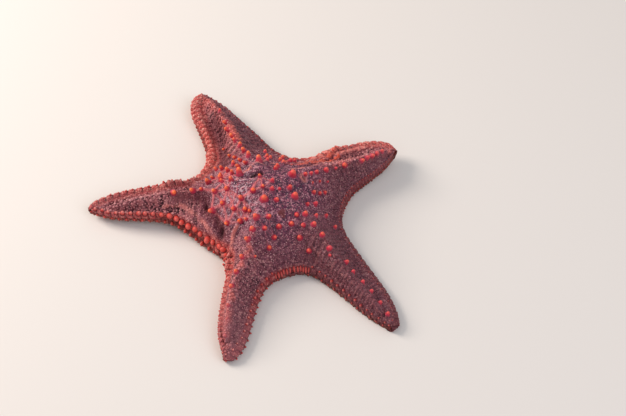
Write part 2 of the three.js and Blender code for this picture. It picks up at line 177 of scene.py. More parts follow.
# ---- the regular star
@dataclass(frozen=True)
class RegularStar:
    """Outline and section of the star before it is posed."""

    reach: float = 106.0
    notch: float = 46.0  # from the mouth to the bottom of a notch
    root_half_width: float = 16.0
    end_half_width: float = 9.0
    tip_length: float = 24.0
    tip_squareness: float = 2.1
    rim_at_notch: float = 9.5  # height of the margin's crest
    rim_at_tip: float = 6.5
    rim_width: float = 4.5  # how far in that crest lies
    widest_at: float = 0.45  # height of the widest line, against the crest's
    sole_inset: float = 2.4
    back_rise: float = 29.0
    back_reach: float = 21.0  # depth over which most of that rise is done
    keel_softness: float = 2.6
    rim_softness: float = 0.7
    flank_sag: float = 1.6
    groove_half_width: float = 3.0
    groove_depth: float = 4.5
    taper: float = 0.6
    mouth_radius: float = 7.0
    line_steps: int = 160  # parts of half a margin, for distances
    fine_steps: int = 4000  # the same, for lengths

    @property
    def notch_s(self) -> float:
        """s of the bottom of a notch."""
        return self.notch * math.cos(HALF_SECTOR)

    @property
    def notch_n(self) -> float:
        """n of the bottom of a notch."""
        return self.notch * math.sin(HALF_SECTOR)

    def along(self, s: Array) -> Array:
        """How far out along the free arm s lies, from 0 to 1."""
        return np.clip((s - self.notch_s) / (self.reach - self.notch_s), 0, 1)

    def half_width(self, s: Array) -> Array:
        """Half the star's width.

        Args:
            s: Way out along the arm.

        Returns:
            The n of the margin there.
        """
        s = np.asarray(s, float)
        taper = (self.end_half_width - self.root_half_width) / (self.reach - self.notch_s)
        flare = self.notch_n - self.root_half_width
        flare_length = flare / (1 / math.tan(HALF_SECTOR) + taper)
        past = np.maximum(0, s - self.notch_s)
        width = self.root_half_width + taper * past + flare * np.exp(-past / flare_length)
        into_tip = np.clip((s - self.reach + self.tip_length) / self.tip_length, 0, 1)
        width = width * np.sqrt(np.maximum(0, 1 - into_tip**self.tip_squareness))
        return np.where(s <= self.notch_s, s * math.tan(HALF_SECTOR), width)

    def margin(self, count: int) -> tuple[Array, Array]:
        """Divides the margin of half an arm evenly, from the notch to the tip.

        Args:
            count: How many parts.

        Returns:
            The points as rows of s and n, and the length along the margin at each.
        """
        turn = np.sin(np.linspace(0, 1, self.fine_steps + 1) * math.pi / 2)
        s = self.notch_s + (self.reach - self.notch_s) * turn
        n = self.half_width(s)
        n[0], n[-1] = self.notch_n, 0.0
        length = np.concatenate([[0], np.cumsum(np.hypot(np.diff(s), np.diff(n)))])
        wanted = np.linspace(0, length[-1], count + 1)
        return np.stack([np.interp(wanted, length, s), np.interp(wanted, length, n)], 1), wanted

    def distances(self, s: Array, n: Array) -> tuple[Array, Array]:
        """Distance from points to each of the ten half margins.

        Args:
            s: Way out along the arm, flat.
            n: Way across, flat.

        Returns:
            The distances, margin by point, and the length along the nearest margin at the foot.
        """
        line, length = self.margin(self.line_steps)
        points = np.stack([s, n], 1)
        row = np.arange(len(points))
        gaps, feet = [], []
        for arm, side in HALVES:
            placed = on_plan(arm, line[:, 0], side * line[:, 1])
            start, step = placed[:-1], np.diff(placed, axis=0)
            offset = points[:, None] - start[None]
            share = np.clip((offset * step).sum(2) / (step**2).sum(1), 0, 1)
            gap = np.linalg.norm(offset - share[..., None] * step, axis=2)
            best = gap.argmin(1)
            gaps.append(gap[row, best])
            feet.append(length[best] + share[row, best] * (length[best + 1] - length[best]))
        stacked = np.array(gaps)
        return stacked, np.array(feet)[stacked.argmin(0), row]

    @staticmethod
    def soft_min(distances: Array, softness: float) -> Array:
        """The least distance for each point, with the creases between two margins' rounded."""
        least = distances.min(0)
        return np.maximum(0, least - softness * np.log(np.exp((least - distances) / softness).sum(0)))

    def rim_height(self, s: Array) -> Array:
        """Height of the crest of the marginal plates."""
        return lerp(self.rim_at_notch, self.rim_at_tip, self.along(s))

    def groove_width(self, s: Array) -> Array:
        """Half the width of the groove under the arm at s."""
        width = self.groove_half_width * (1 - self.taper * self.along(s))
        return np.minimum(width, 0.45 * self.half_width(s))

    def groove_height(self, s: Array) -> Array:
        """Height of the groove's ceiling at s."""
        return self.groove_depth * (1 - self.taper * self.along(s))


# ---- the pose
@dataclass(frozen=True)
class Row:
    """A row of knobs along an arm."""

    across: float  # n of the first
    first: float  # s of the first
    step: float = 1.0  # s from one to the next
    count: int = 1  # how many
    drift: float = 0.0  # n from one to the next
    radius: float = 1.5  # radius of the first
    shrink: float = 0.04  # how much smaller each is than the one before


@dataclass(frozen=True)
class Arm:
    """How one arm lies, in degrees and millimetres. Pairs are for its left and right from the mouth."""

    azimuth: float  # where it points
    reach: float  # from the mouth to its end
    bend: float  # how far it turns to the left on its way
    lean: float  # how far its keel leans to the left
    tilt: Pair  # how far its sides are lifted
    lift: float  # how far its end is lifted
    girth: Pair  # its sides' widths, against the regular star's
    tip_girth: Pair  # the same at its end
    dish: Pair = (0.0, 0.0)  # how far its flanks are hollowed
    keel_drop: float = 0.0  # how far its keel sinks towards the end
    band: Pair = (8.0, 8.0)  # how far up the row of upper plates reaches
    glow: Pair = (0.5, 0.5)  # how much sunlight is painted on that side, from 0 to 1: bright plates, spines and ribs where high, painted shade on the flank where low
    swell: Pair = (0.6, 0.6)  # how far the plates stand out
    rolls: Pair = (1.0, 1.0)  # how many rolls each plate is folded into
    spine: Pair = (1.0, 1.0)  # size of the spines on the upper plates
    root_spine: Pair = (0.6, 0.6)  # how much of that they keep at the notch
    fringe: Pair = (0.6, 0.6)  # size of the spines on the lower plates
    ribs: Pair = (1.0, 1.0)  # how far the ribs across the flanks stand out
    keel: float = 0.5  # how bright the keel is, from 0 to 1
    fade: float = 0.5  # how dusty its end is, from 0 to 1
    grain: Pair = (0.5, 0.5)  # how large and pale the grains of the flanks are, from 0 to 1


@dataclass(frozen=True)
class Notch:
    """Where the notch after an arm lies, seen from the mouth."""

    azimuth: float
    distance: float


ARMS = (
    Arm(azimuth=31.5, reach=89, bend=3, lean=-4, tilt=(8, 0), lift=5, girth=(1.1, 0.8),
        tip_girth=(0.88, 1), dish=(1, 0), band=(5, 3.5), glow=(1, 0.26), swell=(0.7, 0.35),
        rolls=(1, 2), spine=(0.5, 0.5), fringe=(0.3, 0.5), fade=0.35, grain=(0.95, 0.25)),
    Arm(azimuth=116.5, reach=106.5, bend=2, lean=-3, tilt=(0, 3), lift=3, girth=(1.12, 1.18),
        tip_girth=(0.88, 0.75), dish=(3, 0.5), band=(7, 4), glow=(0.95, 0.2), swell=(2.2, 0.5),
        rolls=(1.35, 1), spine=(0.4, 0.75), fringe=(0.35, 0.5), ribs=(3, 1.5), keel=0.9, fade=0.4,
        grain=(0.95, 0.5)),
    Arm(azimuth=176.5, reach=109, bend=4, lean=2, tilt=(4, 5), lift=2, girth=(0.65, 1.2),
        tip_girth=(1.22, 0.55), dish=(2.5, 2), keel_drop=4, band=(5.5, 6.5), glow=(0.65, 0.7),
        swell=(1, 0.6), spine=(1.75, 0.85), root_spine=(1.1, 0.6), fringe=(0.8, 0.6), ribs=(1.6, 1),
        keel=0.2, fade=0.6, grain=(1, 1)),
    Arm(azimuth=254.5, reach=107, bend=10, lean=-4, tilt=(0, 1), lift=0, girth=(0.8, 0.9),
        tip_girth=(1.1, 1.05), dish=(0.5, 0), band=(3.5, 9), glow=(0.4, 0.75), swell=(0.5, 0.8),
        rolls=(1, 1.2), spine=(0.95, 0.7), root_spine=(0, 1.6), fringe=(0.7, 0.25), keel=0.65,
        fade=1, grain=(0.5, 0.9)),
    Arm(azimuth=314.5, reach=110, bend=-6, lean=-4.5, tilt=(0, 0), lift=0, girth=(1.1, 1),
        tip_girth=(0.7, 1), dish=(0, 0.5), band=(3.5, 3.5), glow=(0.2, 0.15), swell=(0.4, 0.5),
        spine=(0.5, 0.95), root_spine=(0.6, 0), fringe=(0.45, 0.6), ribs=(1, 0.8), keel=0.15,
        fade=0.1, grain=(0.5, 0.2)),
)
NOTCHES = (Notch(75, 44), Notch(147, 52.5), Notch(228, 43.6), Notch(286.3, 48), Notch(352.7, 43))


@dataclass(frozen=True)
class PosedStar:
    """Takes points of the regular star to their places in the one that lies here."""

    plan: RegularStar = field(default_factory=RegularStar)
    mouth_at: Pair = (16.0, 4.5)
    onset: float = 2.2  # how soon along an arm its lean, tilt and hollows are full
    girth_onset: float = 3.0  # how soon its widths are
    tilt_fade: float = 0.75  # how much of the tilt is gone at its end
    hollow_to: float = 0.72  # how far across it the hollows end
    hollow_fade: float = 0.5
    flat_below: float = 5.0  # height up to which nothing is hollowed
    hollow_above: float = 9.0
    probe: float = 0.4  # step by which the back's slope is found
    margin_steps: int = 400

    def place(self, arm_index: int, s: Array, n: Array, z: Array) -> Array:
        """Poses points of one arm.

        Args:
            arm_index: Which arm.
            s: Way out along the arm.
            n: Way across, to the left when positive.
            z: Height over the sole.

        Returns:
            Rows of x, y and z, in millimetres.
        """
        arm, plan = ARMS[arm_index], self.plan
        s, n, z = (np.asarray(v, float) for v in (s, n, z))
        beyond = np.maximum(0, s - plan.notch_s)
        share = beyond / (plan.reach - plan.notch_s)
        onset = smoothstep(0, 1, share * self.onset)
        across = np.clip(n / np.maximum(plan.half_width(s), 1e-3), -1, 1)
        left = n > 0
        girth = lerp(1.0, np.where(left, *arm.girth), smoothstep(0, 1, share * self.girth_onset))
        girth = girth * lerp(1.0, np.where(left, *arm.tip_girth), share**2)
        shifted = n * girth + arm.lean * onset * (1 - across**2)
        tilt = lerp(arm.tilt[1], arm.tilt[0], (1 + across) / 2) * onset * (1 - self.tilt_fade * share**2)
        hollow = self._hollow(arm, share, onset, across) * smoothstep(self.flat_below, self.hollow_above, z)
        height = z + tilt + arm.lift * share**2.5 - hollow
        out = np.minimum(s, plan.notch_s) + beyond * (arm.reach - plan.notch_s) / (plan.reach - plan.notch_s)
        bend = math.radians(arm.bend) * share
        x = out * np.cos(bend / 2) - shifted * np.sin(bend)
        y = out * np.sin(bend / 2) + shifted * np.cos(bend)
        return self._turn(np.arctan2(y, x) + 2 * HALF_SECTOR * arm_index, np.hypot(x, y), height)

    def _hollow(self, arm: Arm, share: Array, onset: Array, across: Array) -> Array:
        """How far the back lies below the regular star's, from the hollows and the sunk keel.

        Args:
            arm: The arm.
            share: How far out along it, from 0 to 1.
            onset: How far its shape is in force, from 0 to 1.
            across: Place across it, from -1 to 1.

        Returns:
            The depths in millimetres.
        """
        u = np.clip(np.abs(across) / self.hollow_to, 0, 1)
        dish = np.where(across > 0, *arm.dish)
        hollow = dish * onset * 4 * u * (1 - u) * (1 - self.hollow_fade * share**2)
        sunk = arm.keel_drop * smoothstep(0.2, 0.8, share) * (1 - across**2) ** 2
        return hollow + sunk

    def _turn(self, angle: Array, radius: Array, z: Array) -> Array:
        """Turns and stretches points by what the two nearest keels or notches ask for.

        Args:
            angle: Their angle about the mouth in the regular star, in radians.
            radius: Their distance from the mouth.
            z: Their height.

        Returns:
            Rows of x, y and z.
        """
        sector = math.degrees(2 * HALF_SECTOR)
        asked = []
        for i, (arm, notch) in enumerate(zip(ARMS, NOTCHES)):
            asked.append((arm.azimuth - sector * i, 1.0))
            asked.append((notch.azimuth - sector * (i + 0.5), notch.distance / self.plan.notch))
        turns, stretches = np.array(asked).T
        turns = np.radians(around(turns))
        place = angle / HALF_SECTOR
        floor = np.floor(place).astype(int)
        ease = np.sin((place - floor) * math.pi / 2) ** 2
        before, after = floor % len(asked), (floor + 1) % len(asked)
        azimuth = angle + lerp(turns[before], turns[after], ease)
        distance = radius * lerp(stretches[before], stretches[after], ease)
        x, y = self.mouth_at
        return np.stack([x + distance * np.cos(azimuth), y + distance * np.sin(azimuth), z], -1)

    def _edge(self, s: Array, n: Array, depth: Array, width: float) -> Array:
        """1 on the margin, easing to 0 a width in from it, from the depths of points."""
        on_margin = (s >= self.plan.notch_s) & (n >= self.plan.half_width(s) - 1e-6)
        return np.where(on_margin, 1.0, np.clip(1 - depth / width, 0, 1))

    def back_height(self, s: Array, n: Array) -> Array:
        """Height of the plain back over the sole.

        Args:
            s: Way out along the arm, flat.
            n: Way across, flat.

        Returns:
            The heights.
        """
        plan, n = self.plan, np.abs(n)
        spread, keel = (plan.distances(s, way)[0] for way in (n, n * 0))
        past, most = (plan.soft_min(gaps, plan.keel_softness) - plan.rim_width for gaps in (spread, keel))
        past = np.maximum(0, past)
        across = np.clip(past / np.maximum(1, most), 0, 1)
        sag = plan.flank_sag * 4 * across * (1 - across)
        rise = plan.back_rise * (1 - np.exp(-past / plan.back_reach)) - sag
        edge = self._edge(s, n, plan.soft_min(spread, plan.rim_softness), plan.rim_width)
        return plan.rim_height(s) * lerp(plan.widest_at, 1.0, np.sqrt(1 - edge**2)) + rise

    def sole_height(self, s: Array, n: Array) -> Array:
        """Height of the underside, with its groove and mouth.

        Args:
            s: Way out along the arm, flat.
            n: Way across, flat.

        Returns:
            The heights.
        """
        plan, n = self.plan, np.abs(n)
        edge = self._edge(s, n, plan.distances(s, n)[0].min(0), plan.sole_inset)
        lip = plan.rim_height(s) * plan.widest_at * (1 - np.sqrt(1 - edge**2))
        slope = np.clip(1 - n / np.maximum(plan.groove_width(s), 1e-3), 0, 1)
        vault = np.sqrt(1 - (1 - slope) ** 2) * np.clip(plan.half_width(s) / 4, 0, 1)
        groove = np.where(s < 2, 0, plan.groove_height(s) * vault)
        mouth = plan.groove_depth * np.clip(2 - 2 * np.hypot(s, n) / plan.mouth_radius, 0, 1)
        return np.maximum(lip, np.maximum(groove, mouth))

    def on_back(self, arm_index: int, s: Array, n: Array) -> tuple[Array, Array]:
        """Points of the back and the normals there.

        Args:
            arm_index: Which arm.
            s: Way out along the arm, flat.
            n: Way across, flat.

        Returns:
            Rows of points and rows of unit normals.
        """
        s, n = np.atleast_1d(np.asarray(s, float)), np.atleast_1d(np.asarray(n, float))
        here, out, over = (
            self.place(arm_index, s + a, n + b, self.back_height(s + a, n + b))
            for a, b in ((0, 0), (self.probe, 0), (0, self.probe))
        )
        return here, unit(np.cross(out - here, over - here))

    def on_margin(self, arm_index: int, side: int, length: Array, turn: float) -> tuple[Array, Array]:
        """Points of the rounded side of an arm and the normals there.

        Args:
            arm_index: Which arm.
            side: 1 for its left, -1 for its right.
            length: Length along the margin from the notch, flat.
            turn: 0 on the widest line, 1 on the crest of the rim, -1 at the edge of the sole.

        Returns:
            Rows of points and rows of unit normals.
        """
        here = self._margin_point(arm_index, side, length, turn)
        on = self._margin_point(arm_index, side, length + 0.2, turn) - here
        over = self._margin_point(arm_index, side, length, turn + 0.05) - here
        return here, unit(np.cross(over, on)) * side

    def _margin_point(self, arm_index: int, side: int, length: Array, turn: float) -> Array:
        """Points of the rounded side of an arm.

        Args:
            arm_index: Which arm.
            side: 1 for its left, -1 for its right.
            length: Length along the margin from the notch, flat.
            turn: Way over the rounded side, as in on_margin.

        Returns:
            Rows of points.
        """
        plan = self.plan
        line, lengths = plan.margin(self.margin_steps)
        tangent = np.gradient(line, axis=0)
        inward = unit(np.stack([tangent[:, 1], -tangent[:, 0]], 1))
        s, n = (np.interp(length, lengths, line[:, i]) for i in (0, 1))
        in_s, in_n = (np.interp(length, lengths, inward[:, i]) for i in (0, 1))
        angle = abs(turn) * math.pi / 2
        depth = (plan.rim_width if turn > 0 else plan.sole_inset) * (1 - np.cos(angle))
        above, below = lerp(plan.widest_at, 1.0, np.sin(angle)), plan.widest_at * (1 - np.sin(angle))
        z = plan.rim_height(s) * (above if turn > 0 else below)
        return self.place(arm_index, s + in_s * depth, side * np.maximum(0.0, n + in_n * depth), z)


# ---- places on the star
@dataclass
class Spots:
    """Points of the regular star, with what its markings and relief are worked out from."""

    arm: Array  # index of the arm
    side: Array  # 1 for its left half, -1 for its right
    s: Array  # way out along the arm
    n: Array  # way across, to the left when positive
    depth: Array  # distance in from the margin
    length: Array  # length along the margin from the notch at the nearest point of it
    keel: Array  # depth of the keel at the same s
    under: Array  # 1 on the sole, 0 on the back

    @property
    def flat(self) -> Array:
        """Where the points lie on the plan of the whole regular star, in rows of x and y."""
        return on_plan(self.arm, self.s, self.n)

    def take(self, rows: Array, weights: Array | None = None) -> "Spots":
        """Picks points, or blends them.

        Args:
            rows: Index of a point per row, or of three points per row.
            weights: The share of each of the three.

        Returns:
            The picked or blended points. Arm, side and sheet are those of the first.
        """
        if weights is None:
            return Spots(**{name: values[rows] for name, values in vars(self).items()})
        mixed = {name: (values[rows] * weights).sum(1) for name, values in vars(self).items()}
        return Spots(**mixed | {name: getattr(self, name)[rows[:, 0]] for name in ("arm", "side", "under")})

    @staticmethod
    def joined(parts: list["Spots"]) -> "Spots":
        """Several sets of points as one."""
        names = vars(parts[0])
        return Spots(**{name: np.concatenate([vars(part)[name] for part in parts]) for name in names})


def soft_noise(points: Array, cell: float, seed: int) -> Array:
    """Smooth noise on a plane, from -1 to 1.

    Args:
        points: Rows of x and y.
        cell: Size of a patch, in the points' unit.
        seed: Which pattern.

    Returns:
        One value per point.
    """
    repeat = 64
    table = np.random.default_rng(seed).uniform(-1, 1, (repeat, repeat))
    place = points / cell + 17.3
    low = np.floor(place).astype(int)
    t = smoothstep(0, 1, place - low)
    x0, y0 = low[:, 0] % repeat, low[:, 1] % repeat
    x1, y1 = (x0 + 1) % repeat, (y0 + 1) % repeat
    near = lerp(table[x0, y0], table[x1, y0], t[:, 0])
    far = lerp(table[x0, y1], table[x1, y1], t[:, 0])
    return lerp(near, far, t[:, 1])


# ---- knobs
@dataclass(frozen=True)
class Knob:
    """A blunt tubercle: its arm, its place there and its radius."""

    arm: int
    s: float
    n: float
    radius: float

    @property
    def flat(self) -> Array:
        """Where it stands on the plan of the whole regular star, as x and y."""
        return on_plan(self.arm, self.s, self.n)


KNOB_ROWS = (
    (Row(-1.1, 14.2, radius=2.3), Row(-2.4, 23, 3.4, 3, 0, 1.35), Row(-2.5, 36.7, radius=1.8),
     Row(-2, 46, radius=1), Row(-1.5, 54.2, radius=1.7), Row(-1, 68.4, 5.4, 5, 0.2, 1.6, 0.03),
     Row(-7, 25.3, 5, 3, -0.5, 0.85), Row(-12.4, 24.2, 3.6, 3, -0.4, 1.4),
     Row(8.7, 12.8, 6.3, 4, 2.5, 1.5), Row(13, 21, 8, 2, 3, 1.4)),
    (Row(-1.7, 18.8, radius=2.2), Row(0.6, 27.5, 6.6, 4, 0.2, 1.6), Row(0.9, 53, 7, 3, -0.2, 1.7),
     Row(-0.3, 78.7, radius=1.2), Row(6.9, 53, radius=1.2), Row(4.8, 22.3, 5.9, 4, 1.2, 1.4),
     Row(9.5, 20.5, 6.5, 2, 1, 1.5), Row(15, 21.5, 5.2, 3, 1.6, 1.5), Row(-6.5, 21, 5, 2, -0.8, 1.4),
     Row(-10.4, 26.5, 4.8, 3, -0.5, 1.4), Row(-16, 25, 5, 3, -2.4, 1.4)),
    (Row(-7.4, 15.1, radius=2.2), Row(0.5, 45.3, 11.5, 2, 0, 1.8, 0), Row(-8.6, 27, 8.4, 2, 0, 1.8),
     Row(0.4, 40.2, radius=1.2), Row(2.3, 24.7, 7.2, 2, 0.6, 1.6), Row(7.3, 17.6, 10.3, 2, 0, 1.7),
     Row(9.2, 34.8, radius=2), Row(10.5, 23.1, 5.6, 2, 4.7, 1.6), Row(-12, 19.5, 5.5, 3, -1, 1.4),
     Row(-2.5, 22.5, 5.5, 2, 0, 1.4), Row(12.3, 17.6, radius=1.6)),
    (Row(0.5, 13.3, radius=2.3), Row(-0.6, 25, 6.5, 3, -0.3, 1.9), Row(-1, 48.5, 9.2, 3, 0.2, 1.6),
     Row(-0.5, 79, 8, 3, 0.3, 1.25), Row(5.8, 21.3, 6.6, 2, -0.5, 1.5), Row(4.5, 45.3, radius=0.9),
     Row(13.4, 21.3, 7, 3, -1.5, 1.6), Row(-15, 23.1, radius=1.7), Row(-9, 19, 5, 2, -0.5, 1.2)),
    (Row(3.8, 16.9, radius=2.2), Row(0.3, 29.2, 7.2, 3, 0, 1.8, 0.05), Row(-0.5, 51.2, radius=1.8),
     Row(-2.5, 54.3, radius=0.9), Row(3.2, 61.9, 7.3, 6, -0.1, 1.55, 0.03), Row(8, 24.2, 7.7, 2, -1.8, 1.5),
     Row(13.2, 25.6, 7.3, 3, 0.3, 1.5), Row(-2.7, 25.6, 6.6, 2, -1.2, 1.5),
     Row(-9.9, 24.8, 8, 3, -0.4, 1.6)),
)
CENTRE_KNOBS = (
    Knob(4, 1.9, 0.6, 1.4), Knob(4, 10.6, -6.7, 1.5), Knob(0, 10.6, 7.4, 1.5),
    Knob(2, 10.6, 4.5, 1.7), Knob(2, 4.9, 3.4, 1.2), Knob(3, 4.9, 3.3, 1.4),
    Knob(4, 7.7, 0.3, 1), Knob(2, 5, -3, 1.2), Knob(4, 11.5, 5.6, 1.6),
)


@dataclass(frozen=True)
class Fold:
    """A ridge or a crease of the skin, or a round rise or hollow where it has one point only."""

    path: tuple[tuple[int, float, float], ...]  # arm, s and n of each of its few corners
    rise: float  # height of its middle over the skin, less than 0 in a crease
    width: float  # distance from its middle over which it fades
    # how pale and rosy it is, from 0 to 1: its own colour, and on the streaks of arm_1's rear flank a
    # painted highlight.
    # Less than 0 lays painted shade on it instead, and keeps a crease from its black painted shade, so just
    # under 0 makes a dent that looks like the skin round it
    pale: float = 0.0
    hot: float = 0.0  # how orange it is, from 0 to 1: its own orange, brightened as painted sunlight on arm_1's lit rear flank

    def share(self, flat: Array) -> Array:
        """How near its middle some points of the plan are, from 0 to 1.

        Args:
            flat: Rows of x and y on the star's plan.

        Returns:
            One value per point.
        """
        corners = np.array([on_plan(*corner) for corner in self.path])
        gap = np.hypot(*(flat - corners[0]).T)
        for start, end in zip(corners[:-1], corners[1:]):
            step = end - start
            part = np.clip((flat - start) @ step / (step @ step), 0, 1)
            gap = np.minimum(gap, np.hypot(*(flat - start - part[:, None] * step).T))
        return np.exp(-((gap / self.width) ** 2))


FOLDS = (
    # the disc: a mound near the middle with a pit beside it, dark with painted shade, and pale ridges
    Fold(((1, 12.5, 1),), 2.8, 3.6, 0.2),
    Fold(((2, 9.4, -6.2), (1, 8.2, 1.5)), -2.6, 1.5),
    Fold(((1, 14.4, 5), (1, 16.6, 0.4), (1, 13.6, -4.6)), 0.8, 0.8, 0.8),
    Fold(((2, 15.2, -7.9), (1, 16, 3.2), (1, 19.9, -6.3), (1, 16.8, -11.7)), 0.9, 0.9, 1),
    # between arm_3 and arm_4: a cleft dark with painted shade, and the pale crest beside it
    Fold(((2, 38.5, 8.5), (2, 34.1, 12.2), (2, 33.4, 18.4)), -2.2, 2.4, -1),
    Fold(((2, 33, 16.6), (2, 34.6, 19.2)), -1.6, 1.2),
    Fold(((2, 39.3, 7.8),), -1.2, 1.2),
    Fold(((3, 25, -17), (3, 28.7, -19.6), (3, 35.9, -18.4), (3, 43.1, -17.9), (3, 51, -15)), 1.8, 1.5, 1),
    # arm_3: a pale edge on each flank, hollows beside them darkened with painted shade, and the dent in its
    # near margin
    Fold(((2, 62, 5.2), (2, 52.4, 6), (2, 48.2, 8), (2, 43.1, 10.8), (2, 39.3, 14), (2, 37.5, 19)),
         1.1, 1.5, 0.6),
    Fold(((2, 66, -9), (2, 59.4, -12), (2, 50, -14.5), (2, 42, -15.5), (2, 36, -14)), 0.9, 1.3, 0.6),
    Fold(((2, 57, -13), (2, 48, -15.5), (2, 40, -18.5)), 1.8, 4, -0.7),
    Fold(((2, 56, -3), (2, 43, -7)), -2, 4.8, -0.65),
    Fold(((2, 55, 2), (2, 46, 2.5), (2, 38, 5)), -0.4, 3.2, -0.9),
    Fold(((2, 50, 5), (2, 40, 6)), -1, 3, -0.4),
    Fold(((2, 44, 22), (2, 50, 19.8), (2, 56, 17.9), (2, 64, 16.4)), -4.4, 3, -0.02),
    # arm_2: its twisted flank with painted shade in its hollows, and the dent in its outer margin
    Fold(((1, 43, -2), (1, 33, -7), (1, 25, -14)), -1.5, 1.8, -0.9),
    Fold(((1, 62, -7.5), (1, 54, -11), (1, 42, -12), (1, 33, -17)), 0.9, 1.4, 0.15),
    Fold(((1, 56, -4.5), (1, 47, -7)), 0.8, 1.3, 0.15),
    Fold(((1, 80, 4), (1, 54, 7.5), (1, 35, 14)), -1.4, 3.4, -1),
    Fold(((1, 58, 16.2), (1, 68, 15.2), (1, 81, 13.8)), -4.4, 3, -0.02),
    # arm_1: orange and rosy streaks along its rear flank, their own colour with painted sunlight and painted
    # highlight on them, with wrinkles between them darkened with painted shade
    Fold(((0, 18, 11), (0, 25.5, 7.6), (0, 39.7, 7.6), (0, 61, 9.5)), 1.4, 0.85, 0.6, 1),
    Fold(((0, 17.6, 3.8), (0, 28.7, 2.2), (0, 51, 4.8), (0, 66, 5)), 0.9, 0.75, 0.8, 0.3),
    Fold(((0, 22, 15), (0, 31, 11.5), (0, 45, 11), (0, 66, 13)), 1.3, 0.85, 0.8, 0.8),
    Fold(((0, 40, 16), (0, 54, 15), (0, 74, 13)), 0.8, 0.9, 1),
    Fold(((0, 24, 5), (0, 40, 5.5)), -1.2, 1, -1),
    Fold(((0, 26, 9.5), (0, 44, 9.3), (0, 60, 11.2)), -1.3, 0.9, -1),
    Fold(((0, 26, 13.3), (0, 44, 13.4)), -1.2, 0.8, -1),
    Fold(((0, 50, 8), (0, 74, 6)), -0.8, 2.6, -0.8),
    Fold(((0, 60, 10.8), (0, 84, 7.8)), 0.9, 0.8, 0.9),
    Fold(((0, 44, 13), (0, 80, 10.3)), -0.8, 0.7, -1),
    Fold(((0, 50, 17), (0, 82, 12.5)), -0.7, 0.7, -0.9),
    # a pale swelling at the root of arm_1 with a pit in it dark with painted shade, and shallow hollows
    # elsewhere with faint painted shade
    Fold(((0, 20.7, -4.2),), 1.2, 2.8, 0.95),
    Fold(((0, 21, -4.5),), -1.9, 1.1),
    Fold(((4, 40, -8.5), (4, 52, -6.2), (4, 60, -4.2), (4, 72, -2), (4, 82, -3)), 0.6, 1.3, 0.3),
    Fold(((4, 46, -12), (4, 60, -9), (4, 88, -6)), -0.2, 4.5, -0.45),
    Fold(((3, 30, -17),), -0.8, 4, -0.2),
    Fold(((1, 30, -3),), -0.9, 3, -0.3),
)


def all_knobs(seed: int = 5) -> list[Knob]:
    """Lays out every knob of the back.

    Args:
        seed: Which small differences in place and size they have.

    Returns:
        The knobs, from the centre out.
    """
    chance = np.random.default_rng(seed)
    knobs = list(CENTRE_KNOBS)
    for arm, rows in enumerate(KNOB_ROWS):
        for row in rows:
            for i in range(row.count):
                radius = row.radius * (1 - row.shrink * i) * chance.uniform(0.93, 1.07)
                s = row.first + row.step * i + chance.uniform(-0.4, 0.4)
                n = row.across + row.drift * i + chance.uniform(-0.3, 0.3)
                knobs.append(Knob(arm, s, n, radius))
    return knobs


